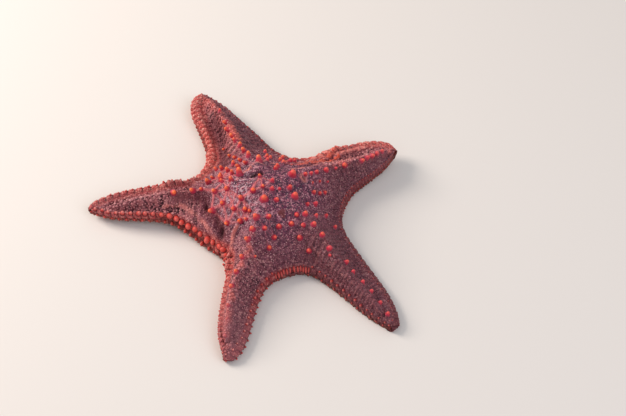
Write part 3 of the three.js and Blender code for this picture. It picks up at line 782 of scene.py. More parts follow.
# ---- relief and markings
@dataclass(frozen=True)
class Relief:
    """What is raised on the plain star: plates, ribs, strands, drawn-up skin and folds."""

    plan: RegularStar = field(default_factory=RegularStar)
    coat_depth: float = 0.35  # how deep the skin lies, so that its grains come up to the solids
    plate: float = 4.6
    slant: float = 0.06  # rolls of a plate per millimetre up the flank
    lower_plate_rise: float = 0.55
    seam: float = 0.35
    rib_rise: float = 0.5
    web_rise: float = 0.5
    strand_rise: float = 1.0
    strand_width: float = 0.7
    strand_reach: float = 9.6  # how far apart two joined knobs may be
    tent_rise: float = 0.8
    tile: float = 3.6
    tile_seam: float = 0.4
    upper_radius: float = 4.6  # millimetres over the rounded side per radian, on the back
    upper_way: float = 7.2  # all the way over it
    lower_radius: float = 3.4  # the same two on the sole
    lower_way: float = 5.3
    steps: int = 200  # parts of a margin when it is measured as it lies
    sunny: float = 150.0  # direction from the mouth of the disc's sunlit side, where painted light makes it rosiest, in degrees
    knobs: tuple[Knob, ...] = field(default_factory=lambda: tuple(all_knobs()))

    @cached_property
    def margin_length(self) -> float:
        """Length of half an arm's margin."""
        return float(self.plan.margin(64)[1][-1])

    @cached_property
    def margin_at(self) -> Array:
        """Even steps along half an arm's margin."""
        return np.linspace(0, self.margin_length, self.steps)

    @cached_property
    def posed_lengths(self) -> Array:
        """How long each half's margin is as it lies, up to each step of the regular one."""
        star = PosedStar(self.plan)
        lines = np.array([star.on_margin(arm, side, self.margin_at, 0.0)[0] for arm, side in HALVES])
        spans = np.linalg.norm(np.diff(lines, axis=1), axis=2)
        return np.concatenate([np.zeros((len(HALVES), 1)), spans.cumsum(1)], 1)

    def plate_index(self, arm: Array, side: Array, length: Array) -> Array:
        """Which plate a length along the margin falls on.

        Args:
            arm: Which arm.
            side: Above 0 on its left.
            length: Way along the regular star's margin from the notch.

        Returns:
            A running number.
        """
        arm, side, length = np.broadcast_arrays(arm, side, length)
        index = np.zeros(length.shape)
        for half, lengths in zip(HALVES, self.posed_lengths):
            here = (arm == half[0]) & ((side > 0) == (half[1] > 0))
            index[here] = np.interp(length[here], self.margin_at, lengths) / self.plate
        return index

    def wall(self, spots: Spots) -> Array:
        """Way over the rounded side.

        Args:
            spots: Where.

        Returns:
            0 on the widest line, more up on the back and less down on the sole, in millimetres.
        """
        def way(width: float, radius: float, whole: float) -> Array:
            """The way over a quarter of the side and on from it, by its width."""
            angle = np.arccos(np.clip(1 - spots.depth / width, -1, 1))
            return np.where(spots.depth < width, angle * radius, whole + spots.depth - width)

        up = way(self.plan.rim_width, self.upper_radius, self.upper_way)
        down = way(self.plan.sole_inset, self.lower_radius, self.lower_way)
        return np.where(spots.under > 0.5, -down, up)

    @staticmethod
    def web(flat: Array) -> Array:
        """Ridges of an uneven net on the skin.

        Args:
            flat: Rows of x and y on the star's plan.

        Returns:
            0 between them to 1 on them.
        """
        bent = flat + 0.8 * np.stack([soft_noise(flat, 3.0, 11), soft_noise(flat, 3.0, 12)], 1)
        nets = ((3.4, 13), (2.0, 14))
        coarse, fine = (1 - np.abs(soft_noise(bent, cell, seed)) * 2.6 for cell, seed in nets)
        return np.clip(np.maximum(coarse, 0.8 * fine), 0, 1)

    def rolls(self, spots: Spots) -> Array:
        """Running number of the roll that each spot lies on, slanted towards the arm's end on the back."""
        wall = self.wall(spots)
        count = self.plate_index(spots.arm.astype(int), spots.side, spots.length) * self.pair(spots, "rolls")
        return np.where(wall < 0, count + 0.5, count - self.slant * np.maximum(wall, 0))

    def plate_swell(self, spots: Spots) -> tuple[Array, Array]:
        """How far the marginal plates stand out.

        Args:
            spots: Where.

        Returns:
            The swell from 0 to 1, and the seams between plates from 0 to 1.
        """
        wall = self.wall(spots)
        along = np.abs(2 * np.mod(self.rolls(spots), 1) - 1)
        middle, lower_middle = 0.5 * self.pair(spots, "band"), 2.9
        over = np.where(wall < 0, np.abs(wall + lower_middle) / lower_middle, np.abs(wall - middle) / middle)
        inside = np.clip(1 - over**3, 0, 1)
        swell = (1 - along**2.5) * inside
        between = np.where(over < 1, smoothstep(0.62, 0.97, along), 0)
        # a dark line along the band's edges: the joint of the upper and lower plates, and fainter at the
        # band's inner border a painted shade under the rim
        beside = smoothstep(0.8, 1, over) * smoothstep(1.3, 1, over)
        return swell, np.clip(between + np.where(wall < 0, 1.0, 0.35) * beside, 0, 1)

    @staticmethod
    def eased(arm: Array, side: Array, length: Array, name: str) -> Array:
        """An arm's pair of numbers, eased over the notches.

        Args:
            arm: Which arm.
            side: Above 0 on its left.
            length: Way along the margin from the notch.
            name: Which of an arm's pairs.

        Returns:
            One value per place.
        """
        own = np.array([getattr(a, name) for a in ARMS], float)
        left = np.asarray(side) > 0
        mine = np.where(left, own[arm, 0], own[arm, 1])
        near = np.where(left, own[(arm + 1) % ARM_COUNT, 1], own[(arm - 1) % ARM_COUNT, 0])
        return lerp((mine + near) / 2, mine, smoothstep(0, 14, length))

    def pair(self, spots: Spots, name: str) -> Array:
        """An arm's pair of numbers, by the side that each spot lies on."""
        return self.eased(spots.arm.astype(int), spots.side, spots.length, name)

    def tiles(self, spots: Spots) -> Array:
        """Seams between the plates of the sole, which lie in rows beside the grooves.

        Args:
            spots: Where.

        Returns:
            0 on the plates to 1 on the seams.
        """
        from_groove = (np.abs(spots.n) - self.plan.groove_width(spots.s)) / self.tile
        row = np.floor(from_groove)
        along = spots.s / self.tile * 1.1 + 0.5 * np.mod(row, 2) + 0.12 * soft_noise(spots.flat, 6, 34)
        seams = [smoothstep(0.72, 1, np.abs(2 * np.mod(v, 1) - 1)) for v in (from_groove, along)]
        return spots.under * np.maximum(*seams) * (from_groove > 0) * smoothstep(2.0, 4.0, spots.depth)

    def band(self, spots: Spots) -> Array:
        """1 on the two rows of marginal plates, easing to 0 up the flank."""
        wall, top = self.wall(spots), self.pair(spots, "band")
        return smoothstep(top + 3, top - 1, wall) * smoothstep(-9.5, -6.0, wall)

    def strands(self, flat: Array) -> tuple[Array, Array]:
        """How strongly the skin is drawn up to the knobs and along strands between them.

        Args:
            flat: Rows of x and y on the star's plan.

        Returns:
            The tents round knobs, and the strands, each about 0 to 1.
        """
        tents, lines = np.zeros(len(flat)), np.zeros(len(flat))
        places = [knob.flat for knob in self.knobs]
        for knob, place in zip(self.knobs, places):
            gap = np.hypot(*(flat - place).T)
            tents = np.maximum(tents, knob.radius / 2 * np.exp(-((gap / (1.35 * knob.radius)) ** 2)))
        for start, end in combinations(places, 2):
            step = end - start
            span = math.hypot(*step)
            if not 2 < span < self.strand_reach:
                continue
            middle = start + step / 2
            azimuth = math.degrees(math.atan2(middle[1], middle[0])) % 360
            # strands stand out most towards the sunlit side, so their pink there is partly painted light
            pull = 0.3 + 0.7 * math.exp(-((around(azimuth - self.sunny) / 60) ** 2))
            near = np.abs(flat - middle).max(1) < span / 2 + 3
            offset = flat[near] - start
            share = np.clip((offset @ step) / span**2, 0, 1)
            gap = np.hypot(*(offset - share[:, None] * step).T)
            ridge = pull * np.exp(-((gap / self.strand_width) ** 2)) * (1 - 0.45 * np.sin(share * math.pi))
            lines[near] = np.maximum(lines[near], ridge)
        return tents, lines

    def rise(self, spots: Spots, fields: dict[str, Array]) -> Array:
        """How far the skin stands out from the plain star, less the depth of its coat.

        Args:
            spots: Where.
            fields: The markings there.

        Returns:
            The rise in millimetres.
        """
        back, flat = 1 - spots.under, spots.flat
        open_skin = back * (1 - fields["band"])
        amount = np.where(self.wall(spots) < 0, self.lower_plate_rise, self.pair(spots, "swell"))
        narrow = np.clip(self.plan.half_width(spots.s) / 8, 0.35, 1)
        swell = fields["swell"] - self.seam * fields["seam"]
        rise = amount * narrow * swell * (0.35 + 0.65 * np.clip(fields["band"] * 2, 0, 1))
        rise = rise + self.rib_rise * fields["rib"] + back * self.tent_rise * fields["tent"]
        rise = rise + back * self.strand_rise * fields["strand"]
        rise = rise + open_skin * (self.web_rise * (fields["web"] - 0.5) + 0.3 * soft_noise(flat, 5.5, 3))
        rise = rise + 0.25 * open_skin * fields["grain"] * soft_noise(flat, 1.9, 21)
        crinkle = 1 + 0.4 * soft_noise(flat, 1.6, 31)
        for fold in FOLDS:
            rise = rise + back * crinkle * fold.rise * fold.share(flat)
        return rise - self.tile_seam * fields["tile"] - self.coat_depth

    @staticmethod
    def fold_marks(flat: Array, back: Array) -> dict[str, Array]:
        """What the folds do to the colours.

        Args:
            flat: Rows of x and y on the star's plan.
            back: 1 on the back, 0 on the sole.

        Returns:
            Named values: how pale and highlit, how dark with the painted shade of creases, how dimmed by
                painted shade, and how orange and sunlit the skin is.
        """
        marks = {name: np.zeros(len(flat)) for name in ("pale", "crease", "dim", "hot")}
        worn = 0.75 + 0.5 * soft_noise(flat, 1.5, 32)
        for fold in FOLDS:
            share = back * fold.share(flat)
            for name, amount in (
                ("pale", fold.pale * share * worn),
                ("crease", -fold.rise / 3 * share * (fold.pale >= 0)),
                ("dim", -fold.pale * share),
                ("hot", fold.hot * share * worn),
            ):
                marks[name] = np.maximum(marks[name], amount)
        for name in ("crease", "dim"):
            marks[name] = np.clip(marks[name], 0, 1)
        return marks

    def fields(self, spots: Spots) -> dict[str, Array]:
        """The markings at some points, painted light and shade among them, shared by the skin and by what
        stands on it.

        Args:
            spots: Where.

        Returns:
            Named values, most of them from 0 to 1.
        """
        plan, flat, wall, back = self.plan, spots.flat, self.wall(spots), 1 - spots.under
        swell, seam = self.plate_swell(spots)
        band, count = self.band(spots), self.rolls(spots)
        tents, lines = self.strands(flat)
        glow, grain = (self.pair(spots, name) for name in ("glow", "grain"))
        keel, fade = (np.array([getattr(arm, name) for arm in ARMS])[spots.arm.astype(int)]
                      for name in ("keel", "fade"))
        from_mouth = np.hypot(spots.s, spots.n)
        arm = smoothstep(24, 46, from_mouth)
        open_arm = back * (1 - band) * arm
        high = np.clip((spots.depth - plan.rim_width) / np.maximum(1, spots.keel - plan.rim_width), 0, 1)
        slope = back * smoothstep(6, 9, wall) * smoothstep(1.0, 0.75, high) * arm
        wave = 0.3 * np.cos(2 * math.pi * (count + 0.5)) + 0.2 * np.cos(4 * math.pi * count)
        rib = slope * (0.5 + wave * self.pair(spots, "ribs"))
        crest = back * np.exp(-((spots.n / 1.7) ** 2))
        crest = crest * smoothstep(18, 26, spots.s) * smoothstep(104, 92, spots.s)
        # painted sunlight and highlights on the disc's sunlit side, round the sunny direction
        off_sunny = around(np.degrees(np.arctan2(flat[:, 1], flat[:, 0])) - self.sunny)
        veil = back * (1 - arm) * np.exp(-((off_sunny / 55) ** 2)) * smoothstep(6, 16, np.hypot(*flat.T))
        bright = keel * np.exp(-((spots.n / 3.0) ** 2)) * open_arm
        inside = np.clip(1.2 - np.abs(spots.n) / np.maximum(plan.groove_width(spots.s), 0.1), 0, 1)
        inside = np.maximum(inside, smoothstep(7.5, 4.5, from_mouth))
        return {
            "swell": swell,
            "seam": seam,
            "band": band,
            "upper": band * smoothstep(-1.5, 1.0, wall),
            "lower": smoothstep(0.5, -1.5, wall),
            "sole": smoothstep(-6.0, -9.0, wall) * smoothstep(103, 95, spots.s),
            "rib": rib + 0.8 * crest,
            "tent": back * tents,
            "strand": back * lines,
            "arm": arm,
            "glow": glow,
            "grain": grain * lerp(0.4, 1.0, arm),
            "web": self.web(flat),
            "slope": slope,
            "count": count,
            "veil": veil,
            "tile": self.tiles(spots),
            # painted shade inside the grooves and the mouth
            "furrow": spots.under * inside * (spots.depth > plan.sole_inset),
            "end": back * smoothstep(56, 96, spots.s) * fade,
            "keel": bright * (0.7 + 0.6 * soft_noise(flat, 2.2, 33)),
            "open_arm": open_arm,
            "grainy": open_arm * grain * smoothstep(34, 54, spots.s),
            "shade_side": open_arm * smoothstep(0.5, 0.1, glow),
            **self.fold_marks(flat, back),
        }


# ---- meshes
def make_mesh(
    name: str, points: Array, triangles: Array, values: dict[str, Array], corners_uv: Array, finish: Finish
) -> Piece:
    """Makes a smooth piece from arrays.

    Args:
        name: The piece's name.
        points: Rows of x, y and z in millimetres.
        triangles: Rows of three point numbers.
        values: Named numbers, one per point, for the materials.
        corners_uv: Rows of u and v, one per corner.
        finish: Its finish.

    Returns:
        The piece, linked to the scene.
    """
    mesh = bpy.data.meshes.new(name)
    mesh.vertices.add(len(points))
    mesh.vertices.foreach_set("co", (points * MM).astype(np.float32).ravel())
    mesh.loops.add(triangles.size)
    mesh.loops.foreach_set("vertex_index", triangles.astype(np.int32).ravel())
    mesh.polygons.add(len(triangles))
    mesh.polygons.foreach_set("loop_start", np.arange(0, triangles.size, 3, dtype=np.int32))
    mesh.update(calc_edges=True)
    mesh.validate()
    mesh.shade_smooth()
    for key, value in values.items():
        layer = mesh.attributes.new(key, "FLOAT", "POINT")
        layer.data.foreach_set("value", value.astype(np.float32))
    uv = mesh.uv_layers.new(name="OFBake")
    uv.data.foreach_set("uv", corners_uv.astype(np.float32).ravel())
    mesh.materials.append(finish.material())
    made = bpy.data.objects.new(name, mesh)
    bpy.context.scene.collection.objects.link(made)
    return made


def point_normals(points: Array, triangles: Array) -> Array:
    """Normals of a mesh's points, from the triangles round them."""
    a, b, c = (points[triangles[:, i]] for i in range(3))
    face = np.cross(b - a, c - a)
    total = np.zeros_like(points)
    for i in range(3):
        for axis in range(3):
            total[:, axis] += np.bincount(triangles[:, i], face[:, axis], len(points))
    return unit(total)


@dataclass(frozen=True)
class Unwrap:
    """Lays the star's skin out flat: the back at full size and the sole, smaller, in a free corner."""

    plan: RegularStar = field(default_factory=RegularStar)
    unit_size: float = 212.0  # side of the map in millimetres
    back_at: Pair = (90.0, 106.0)
    sole_from_back: Pair = (79.5, 61.5)
    sole_scale: float = 0.37
    side_width: float = 3.2  # how far the rounded side spreads beyond the margin
    margin_steps: int = 400

    def lay(self, spots: Spots) -> Array:
        """Where points come on the map.

        Args:
            spots: The points.

        Returns:
            Rows of u and v.
        """
        under = spots.under > 0.5
        line, lengths = self.plan.margin(self.margin_steps)
        tangent = np.gradient(line, lengths, axis=0)
        out_s = np.interp(spots.length, lengths, -tangent[:, 1])
        out_n = np.interp(spots.length, lengths, tangent[:, 0]) * spots.side
        out = on_plan(spots.arm, out_s, out_n)
        reach = np.where(under, self.plan.sole_inset, self.plan.rim_width)
        extra = self.side_width * np.clip(1 - spots.depth / reach, 0, 1) ** 1.5
        flat = spots.flat + out * extra[:, None]
        small = flat * self.sole_scale + np.array(self.sole_from_back)
        return (np.where(under[:, None], small, flat) + np.array(self.back_at)) / self.unit_size


@dataclass
class Skin:
    """The one skin of the disc and the arms, back and sole."""

    star: PosedStar = field(default_factory=PosedStar)
    relief: Relief = field(default_factory=Relief)
    unwrap: Unwrap = field(default_factory=Unwrap)
    disc_step: float = 0.8  # between rows of points; the others count rows and columns
    notch_steps: int = 10
    margin_steps: int = 118
    rim_columns: int = 10
    flank_columns: int = 27
    lip_columns: int = 6
    sole_columns: int = 4
    lowest: float = 0.12  # the solids' flats stand lower, and carry the star

    def __post_init__(self) -> None:
        """Works the surface out: halves of arms side by side, welded where they meet."""
        halves = [half for under in (0, 1) for half in self._sheet(under)]
        spots, plain, keys, faces = zip(*halves)
        self.spots = Spots.joined(spots)
        offsets = np.cumsum([0] + [len(part) for part in plain[:-1]])
        raw = np.concatenate([triangles + offset for triangles, offset in zip(faces, offsets)])
        found = np.unique(np.concatenate(keys), axis=0, return_index=True, return_inverse=True)
        _, self.first, welded = found
        whole = welded.reshape(-1)[raw]
        sound = (whole != np.roll(whole, 1, axis=1)).all(1)
        self.raw_triangles, self.triangles = raw[sound], whole[sound]
        self.plain = np.concatenate(plain)[self.first]
        self.fields = self.relief.fields(self.spots)
        rise = self.relief.rise(self.spots, self.fields)[self.first]
        self.points = self.plain + point_normals(self.plain, self.triangles) * rise[:, None]
        self.points[:, 2] = np.maximum(self.points[:, 2], self.lowest)
        self.normals = point_normals(self.points, self.triangles)

    def _stations(self) -> Array:
        """Values of s at which the star is cut across, finer towards the notch."""
        plan = self.star.plan
        turn = np.linspace(0, 1, self.notch_steps + 1) * math.pi / 2
        near = plan.notch_s - plan.rim_width * (1 - np.sin(turn))
        inner_reach = plan.notch_s - plan.rim_width
        inner = np.linspace(0, inner_reach, int(round(inner_reach / self.disc_step)) + 1)
        return np.concatenate([inner[:-1], near[:-1], plan.margin(self.margin_steps)[0][:, 0]])

    def _columns(self, s: Array, under: int) -> Array:
        """Values of n across half the star, from the midline out, finer at the margin.

        Args:
            s: Where it is cut across.
            under: 1 for the sole, 0 for the back.

        Returns:
            A row for each s.
        """
        plan = self.star.plan
        width = plan.half_width(s)[:, None]
        edge = np.minimum(plan.sole_inset if under else plan.rim_width, 0.55 * width)
        count = self.lip_columns if under else self.rim_columns
        turn = np.linspace(0, 1, count + 1)[None, 1:] * math.pi / 2
        rounded = width - edge * (1 - np.sin(turn))
        if under:
            groove = np.minimum(plan.groove_width(s)[:, None], 0.8 * (width - edge))
            inside = groove * np.array([[0, 0.3, 0.6, 0.85]])
            flat = lerp(groove, width - edge, np.linspace(0, 1, self.sole_columns + 1)[None])
            return np.concatenate([inside, flat, rounded], 1)
        flat = (width - edge) * np.linspace(0, 1, self.flank_columns + 1)[None]
        return np.concatenate([flat, rounded], 1)

    def _sheet(self, under: int) -> list[tuple[Spots, Array, Array, Array]]:
        """Works out the back or the sole.

        Args:
            under: 1 for the sole, 0 for the back.

        Returns:
            Ten halves of arms: spots, plain points, keys that points to be welded share, and triangles.
        """
        plan = self.star.plan
        stations = self._stations()
        across = self._columns(stations, under)
        shape = across.shape
        s = np.repeat(stations[:, None], shape[1], 1).ravel()
        n = across.ravel()
        z = (self.star.sole_height if under else self.star.back_height)(s, n)
        spread, length = plan.distances(s, n)
        keel = plan.distances(stations, stations * 0)[0].min(0)
        depth = spread.min(0)
        depth[(s >= plan.notch_s - 1e-9) & (n >= plan.half_width(s) - 1e-9)] = 0
        number = np.arange(s.size).reshape(shape)
        a, b, c, d = number[:-1, :-1], number[1:, :-1], number[1:, 1:], number[:-1, 1:]
        quads = np.concatenate([np.stack(corners, -1).reshape(-1, 3) for corners in ((a, b, c), (a, c, d))])
        row, column = (grid.ravel() for grid in np.indices(shape))
        last = column == shape[1] - 1
        tip, middle, full = row == shape[0] - 1, row == 0, np.ones(s.size)
        halves = []
        for arm, side in HALVES:
            spots = Spots(full * arm, full * side, s, side * n, depth, length,
                          np.repeat(keel, shape[1]), full * under)
            sheet, which, half, place = full * under, full * arm, full * side, column + 10.0
            half[column == 0], place[column == 0] = 0, 0
            between = last & (s <= plan.notch_s + 1e-9)
            which[between] = (arm if side > 0 else arm - 1) % ARM_COUNT
            half[last], place[last] = np.where(between[last], 0, side), 1
            sheet[last & (s >= plan.notch_s - 1e-9)] = 2
            sheet[tip], half[tip], place[tip] = 2, 0, 2
            which[middle], half[middle], place[middle] = 0, 0, 3
            keys = np.stack([sheet, which, half, row, place], 1).astype(int)
            faces = quads if (side > 0) != bool(under) else quads[:, ::-1]
            halves.append((spots, self.star.place(arm, s, side * n, z), keys, faces))
        return halves

    @cached_property
    def _tree(self) -> KDTree:
        """The points of the plain star, sorted."""
        return tree_of(self.plain)

    def settle(self, points: Array) -> "Samples":
        """Finds the places on the skin where points of the plain star come.

        Args:
            points: Rows of x, y and z on the plain star.

        Returns:
            The places.
        """
        found = np.array([self._tree.find(p)[1] for p in points])
        rows = self.first[found]
        fields = {key: value[rows] for key, value in self.fields.items()}
        return Samples(self.points[found], self.normals[found], self.spots.take(rows), fields)

    def sample(self, count: int, weight: Array, chance: np.random.Generator) -> "Samples":
        """Picks places at random on the skin.

        Args:
            count: How many.
            weight: How likely each spot is, next to the others.
            chance: The seeded source.

        Returns:
            The places.
        """
        a, b, c = (self.points[self.triangles[:, i]] for i in range(3))
        area = np.linalg.norm(np.cross(b - a, c - a), axis=1) * weight[self.raw_triangles].mean(1)
        chosen = chance.choice(len(area), count, p=area / area.sum())
        root, share = np.sqrt(chance.random(count)), chance.random(count)
        mix = np.stack([1 - root, root * (1 - share), root * share], 1)
        corners = self.triangles[chosen]
        points = (self.points[corners] * mix[..., None]).sum(1)
        normals = unit((self.normals[corners] * mix[..., None]).sum(1))
        raw = self.raw_triangles[chosen]
        fields = {key: (value[raw] * mix).sum(1) for key, value in self.fields.items()}
        return Samples(points, normals, self.spots.take(raw, mix), fields)

    def build(self, finish: Finish) -> Piece:
        """Makes the skin's piece.

        Args:
            finish: Its finish.

        Returns:
            The piece.
        """
        corners_uv = self.unwrap.lay(self.spots)[self.raw_triangles.ravel()]
        values = {key: value[self.first] for key, value in self.fields.items()}
        return make_mesh("skin", self.points, self.triangles, values, corners_uv, finish)


@dataclass
class Samples:
    """Places on the skin, with their normals, their spots and the markings there."""

    points: Array
    normals: Array
    spots: Spots
    fields: dict[str, Array]

    def take(self, rows: Array) -> "Samples":
        """Some of the places."""
        fields = {key: value[rows] for key, value in self.fields.items()}
        return Samples(self.points[rows], self.normals[rows], self.spots.take(rows), fields)

    def apart(self, spacing: Array) -> Array:
        """Numbers of places that keep a distance, the earlier ones first.

        Args:
            spacing: The distance that each keeps, in millimetres.

        Returns:
            The numbers of those that stay.
        """
        tree = tree_of(self.points)
        gone = np.zeros(len(self.points), bool)
        kept = []
        for i, place in enumerate(self.points):
            if not gone[i]:
                kept.append(i)
                for _, j, _ in tree.find_range(place, spacing[i]):
                    gone[j] = True
        return np.array(kept)


@dataclass(frozen=True)
class Stamp:
    """A small shape of unit radius and height, copied many times."""

    points: Array
    triangles: Array

    @staticmethod
    def turned(profile: tuple[Pair, ...], sides: int) -> "Stamp":
        """Turns a profile about its axis.

        Args:
            profile: Pairs of radius and height, from the foot up, ending on the axis.
            sides: How many sides.

        Returns:
            The shape.
        """
        angle = np.arange(sides) * 2 * math.pi / sides
        rings = [np.stack([r * np.cos(angle), r * np.sin(angle), angle * 0 + z], 1) for r, z in profile[:-1]]
        return Stamp(np.concatenate([*rings, [[0, 0, profile[-1][1]]]]), lofted(len(rings), sides))


@dataclass
class Coat:
    """Many copies of one stamp, rooted on the skin and joined as one mesh."""

    name: str
    stamp: Stamp
    places: Samples
    radius: Array
    height: Array
    seed: int
    lean: float = 0.12
    sink: float = 0.0  # how deep they stand in the skin
    patch: float = 0.003  # size of a copy on the skin's map
    upright: bool = False  # whether their breadth is kept upright
    broad: Array | float = 1.0  # that breadth, against the radius

    def build(self, unwrap: Unwrap, finish: Finish) -> Piece:
        """Makes the joined mesh.

        Args:
            unwrap: The map of the skin, on which each copy is a small patch.
            finish: The material.

        Returns:
            The object.
        """
        chance = np.random.default_rng(self.seed)
        count, each = len(self.radius), len(self.stamp.points)
        up = unit(self.places.normals + chance.normal(0, self.lean, (count, 3)))
        aside = np.repeat(UP[None], count, 0) if self.upright else unit(chance.normal(0, 1, (count, 3)))
        across = unit(np.cross(up, aside))
        over = np.cross(up, across)
        x, y, z = self.stamp.points.T
        wide = self.radius[:, None] * x
        deep = (self.radius * self.broad)[:, None] * y
        high = self.height[:, None] * z - self.sink
        points = self.places.points[:, None]
        for distance, direction in ((wide, across), (deep, over), (high, up)):
            points = points + distance[..., None] * direction[:, None]
        points = points.reshape(-1, 3)
        points[:, 2] = np.maximum(points[:, 2], 0)
        triangles = (self.stamp.triangles[None] + np.arange(count)[:, None, None] * each).reshape(-1, 3)
        values = {key: np.repeat(value, each) for key, value in self.places.fields.items()}
        values["up"] = np.tile(np.clip(z / z.max(), 0, 1), count)
        values["tone"] = np.repeat(chance.random(count), each)
        centre = unwrap.lay(self.places.spots)
        spread = np.stack([x, y], 1) / np.hypot(x, y).max() * self.patch / 2
        map_at = (centre[:, None] + spread[None]).reshape(-1, 2)
        return make_mesh(self.name, points, triangles, values, map_at[triangles.ravel()], finish)


KNOB_PROFILE = (
    (1.38, -0.22), (1.2, -0.02), (1.05, 0.12), (0.95, 0.28), (0.88, 0.45), (0.8, 0.62), (0.66, 0.79),
    (0.44, 0.92), (0.2, 0.985), (0, 1.0),
)
SPINE_PROFILE = (
    (1.15, -0.2), (1.0, 0.05), (0.92, 0.35), (0.8, 0.65), (0.56, 0.87), (0.24, 0.98), (0, 1.0),
)
DOME_PROFILE = ((1.0, -0.35), (0.85, 0.5), (0, 1.0))
FOOT_PROFILE = ((0.75, -0.1), (0.6, 0.3), (0.62, 0.7), (1.0, 0.88), (0.9, 0.98), (0, 0.93))


@dataclass
class Knobs:
    """The blunt tubercles of the back."""

    skin: Skin
    width: float = 0.85  # against the radius of the drawn-up skin
    tall: float = 1.5  # height over radius
    upright: float = 0.35  # how far they stand up instead of square to the skin
    sunlit_side: float = 125.0  # direction from the mouth of the sunlit side, where the knobs' crowns carry the most orange painted highlight, in degrees
    tall_side: float = 105.0  # direction of the tallest
    tall_spread: float = 55.0
    tall_from: float = 12.0  # millimetres from the mouth
    sides: int = 14

    def build(self, finish: Finish) -> Piece:
        """Makes them as one piece."""
        knobs = self.skin.relief.knobs
        roots = [self.skin.star.on_back(knob.arm, knob.s, knob.n)[0][0] for knob in knobs]
        places = self.skin.settle(np.array(roots))
        places.normals = unit(places.normals + self.upright * UP)
        size = np.array([knob.radius for knob in knobs])
        azimuth = np.array([math.degrees(math.atan2(*knob.flat[::-1])) % 360 for knob in knobs])
        out = np.array([math.hypot(*knob.flat) for knob in knobs])
        # crowns are more orange towards the sunlit side, a painted highlight, with some random difference
        sunny = 0.5 + 0.5 * np.cos(np.radians(azimuth - self.sunlit_side))
        uneven = np.random.default_rng(20).uniform(-0.25, 0.25, len(knobs))
        places.fields["warmth"] = np.clip(0.25 + 0.75 * sunny + uneven, 0, 1)
        far = np.exp(-(((azimuth - self.tall_side) / self.tall_spread) ** 2)) * (out > self.tall_from)
        coat = Coat("knobs", Stamp.turned(KNOB_PROFILE, self.sides), places, radius=size * self.width,
                    height=size * self.tall * (0.95 + 0.4 * far), seed=21, lean=0.08, sink=0.15, patch=0.009)
        return coat.build(self.skin.unwrap, finish)


@dataclass(frozen=True)
class SpineRow:
    """A row of spines round the margin."""

    name: str
    scale: str  # which pair of an arm's numbers scales them
    turn: float  # how far over the rounded side, as in PosedStar.on_margin
    size: Pair  # radius and height of a common one
    shift: float  # where on its roll each stands
    broad: float  # breadth against radius
    seed: int


@dataclass
class MarginSpines:
    """A blunt spine on each upper and each lower plate of the margin, and a comb of slim ones in a notch."""

    skin: Skin
    rows: tuple[SpineRow, ...] = (
        SpineRow("upper_spines", "spine", 0.62, (0.95, 1.7), 0.4, 1.0, 31),
        SpineRow("lower_spines", "fringe", -0.12, (1.0, 1.9), 0.9, 1.4, 32),
    )
    end_gap: float = 1.5  # how many rolls at an arm's end have none
    comb_step: float = 2.0
    comb_count: int = 12
    comb_turn: float = 0.3
    sides: int = 10

    def build(self, finish: Finish) -> list[Piece]:
        """Makes the two rows and the comb, one piece each."""
        return [*(self._row(row, finish) for row in self.rows), self._comb(finish)]

    def _row(self, row: SpineRow, finish: Finish) -> Piece:
        """Makes one row round the whole margin.

        Args:
            row: Which.
            finish: The spines' finish.

        Returns:
            The piece.
        """
        relief, chance = self.skin.relief, np.random.default_rng(row.seed)
        lengths = np.linspace(0, relief.margin_length, 2000)
        roots, shares = [], []
        for arm, side in HALVES:
            count = relief.plate_index(arm, side, lengths) * relief.eased(arm, side, lengths, "rolls")
            length = np.interp(np.arange(0.1, count[-1] - self.end_gap) + row.shift, count, lengths)
            roots.append(self.skin.star.on_margin(arm, side, length, row.turn)[0])
            shares.append(length / relief.margin_length)
        places, share = self.skin.settle(np.concatenate(roots)), np.concatenate(shares)
        # spines are brighter red from the painted sunlight of their side of the arm, more so near the notch
        near = 0.7 + 0.45 * smoothstep(0.5, 0.15, share)
        glow = near * places.fields["glow"]
        places.fields["warmth"] = np.clip(0.12 + glow + 0.15 * chance.random(len(share)), 0, 1)
        size = (1.0 - 0.3 * share) * chance.uniform(0.78, 1.2, len(share))
        size = size * relief.pair(places.spots, row.scale)
        size = size * lerp(relief.pair(places.spots, "root_spine"), 1.0, smoothstep(0, 0.22, share))
        radius, height = (measure * size for measure in row.size)
        broad = row.broad * lerp(1.3, 1.0, smoothstep(0.05, 0.3, share))
        return self._coat(row.name, places, radius, height, row.seed, 0.1, broad, finish)

    def _comb(self, finish: Finish) -> Piece:
        """Makes the comb of slim upright spines in the notch between arm_4 and arm_5."""
        chance = np.random.default_rng(33)
        length = self.comb_step * (0.5 + np.arange(self.comb_count // 2))
        on_margin = self.skin.star.on_margin
        halves = [on_margin(arm, side, length, self.comb_turn) for arm, side in ((3, 1), (4, -1))]
        points, normals = (np.concatenate(part) for part in zip(*halves))
        places = self.skin.settle(points)
        places.normals = normals
        places.fields["warmth"] = 0.3 + 0.35 * chance.random(len(points))
        wide = self.comb_step * 0.36 * chance.uniform(0.9, 1.1, len(points))
        return self._coat("comb_spines", places, wide, wide * 1.3, 34, 0.06, 3.0, finish)

    def _coat(self, name: str, places: Samples, radius: Array, height: Array, seed: int,
              lean: float, broad: Array | float, finish: Finish) -> Piece:
        """Makes one piece of upright spines, from what a coat of them needs."""
        stamp = Stamp.turned(SPINE_PROFILE, self.sides)
        coat = Coat(name, stamp, places, radius, height, seed, lean, 0.1, 0.006, True, broad)
        return coat.build(self.skin.unwrap, finish)


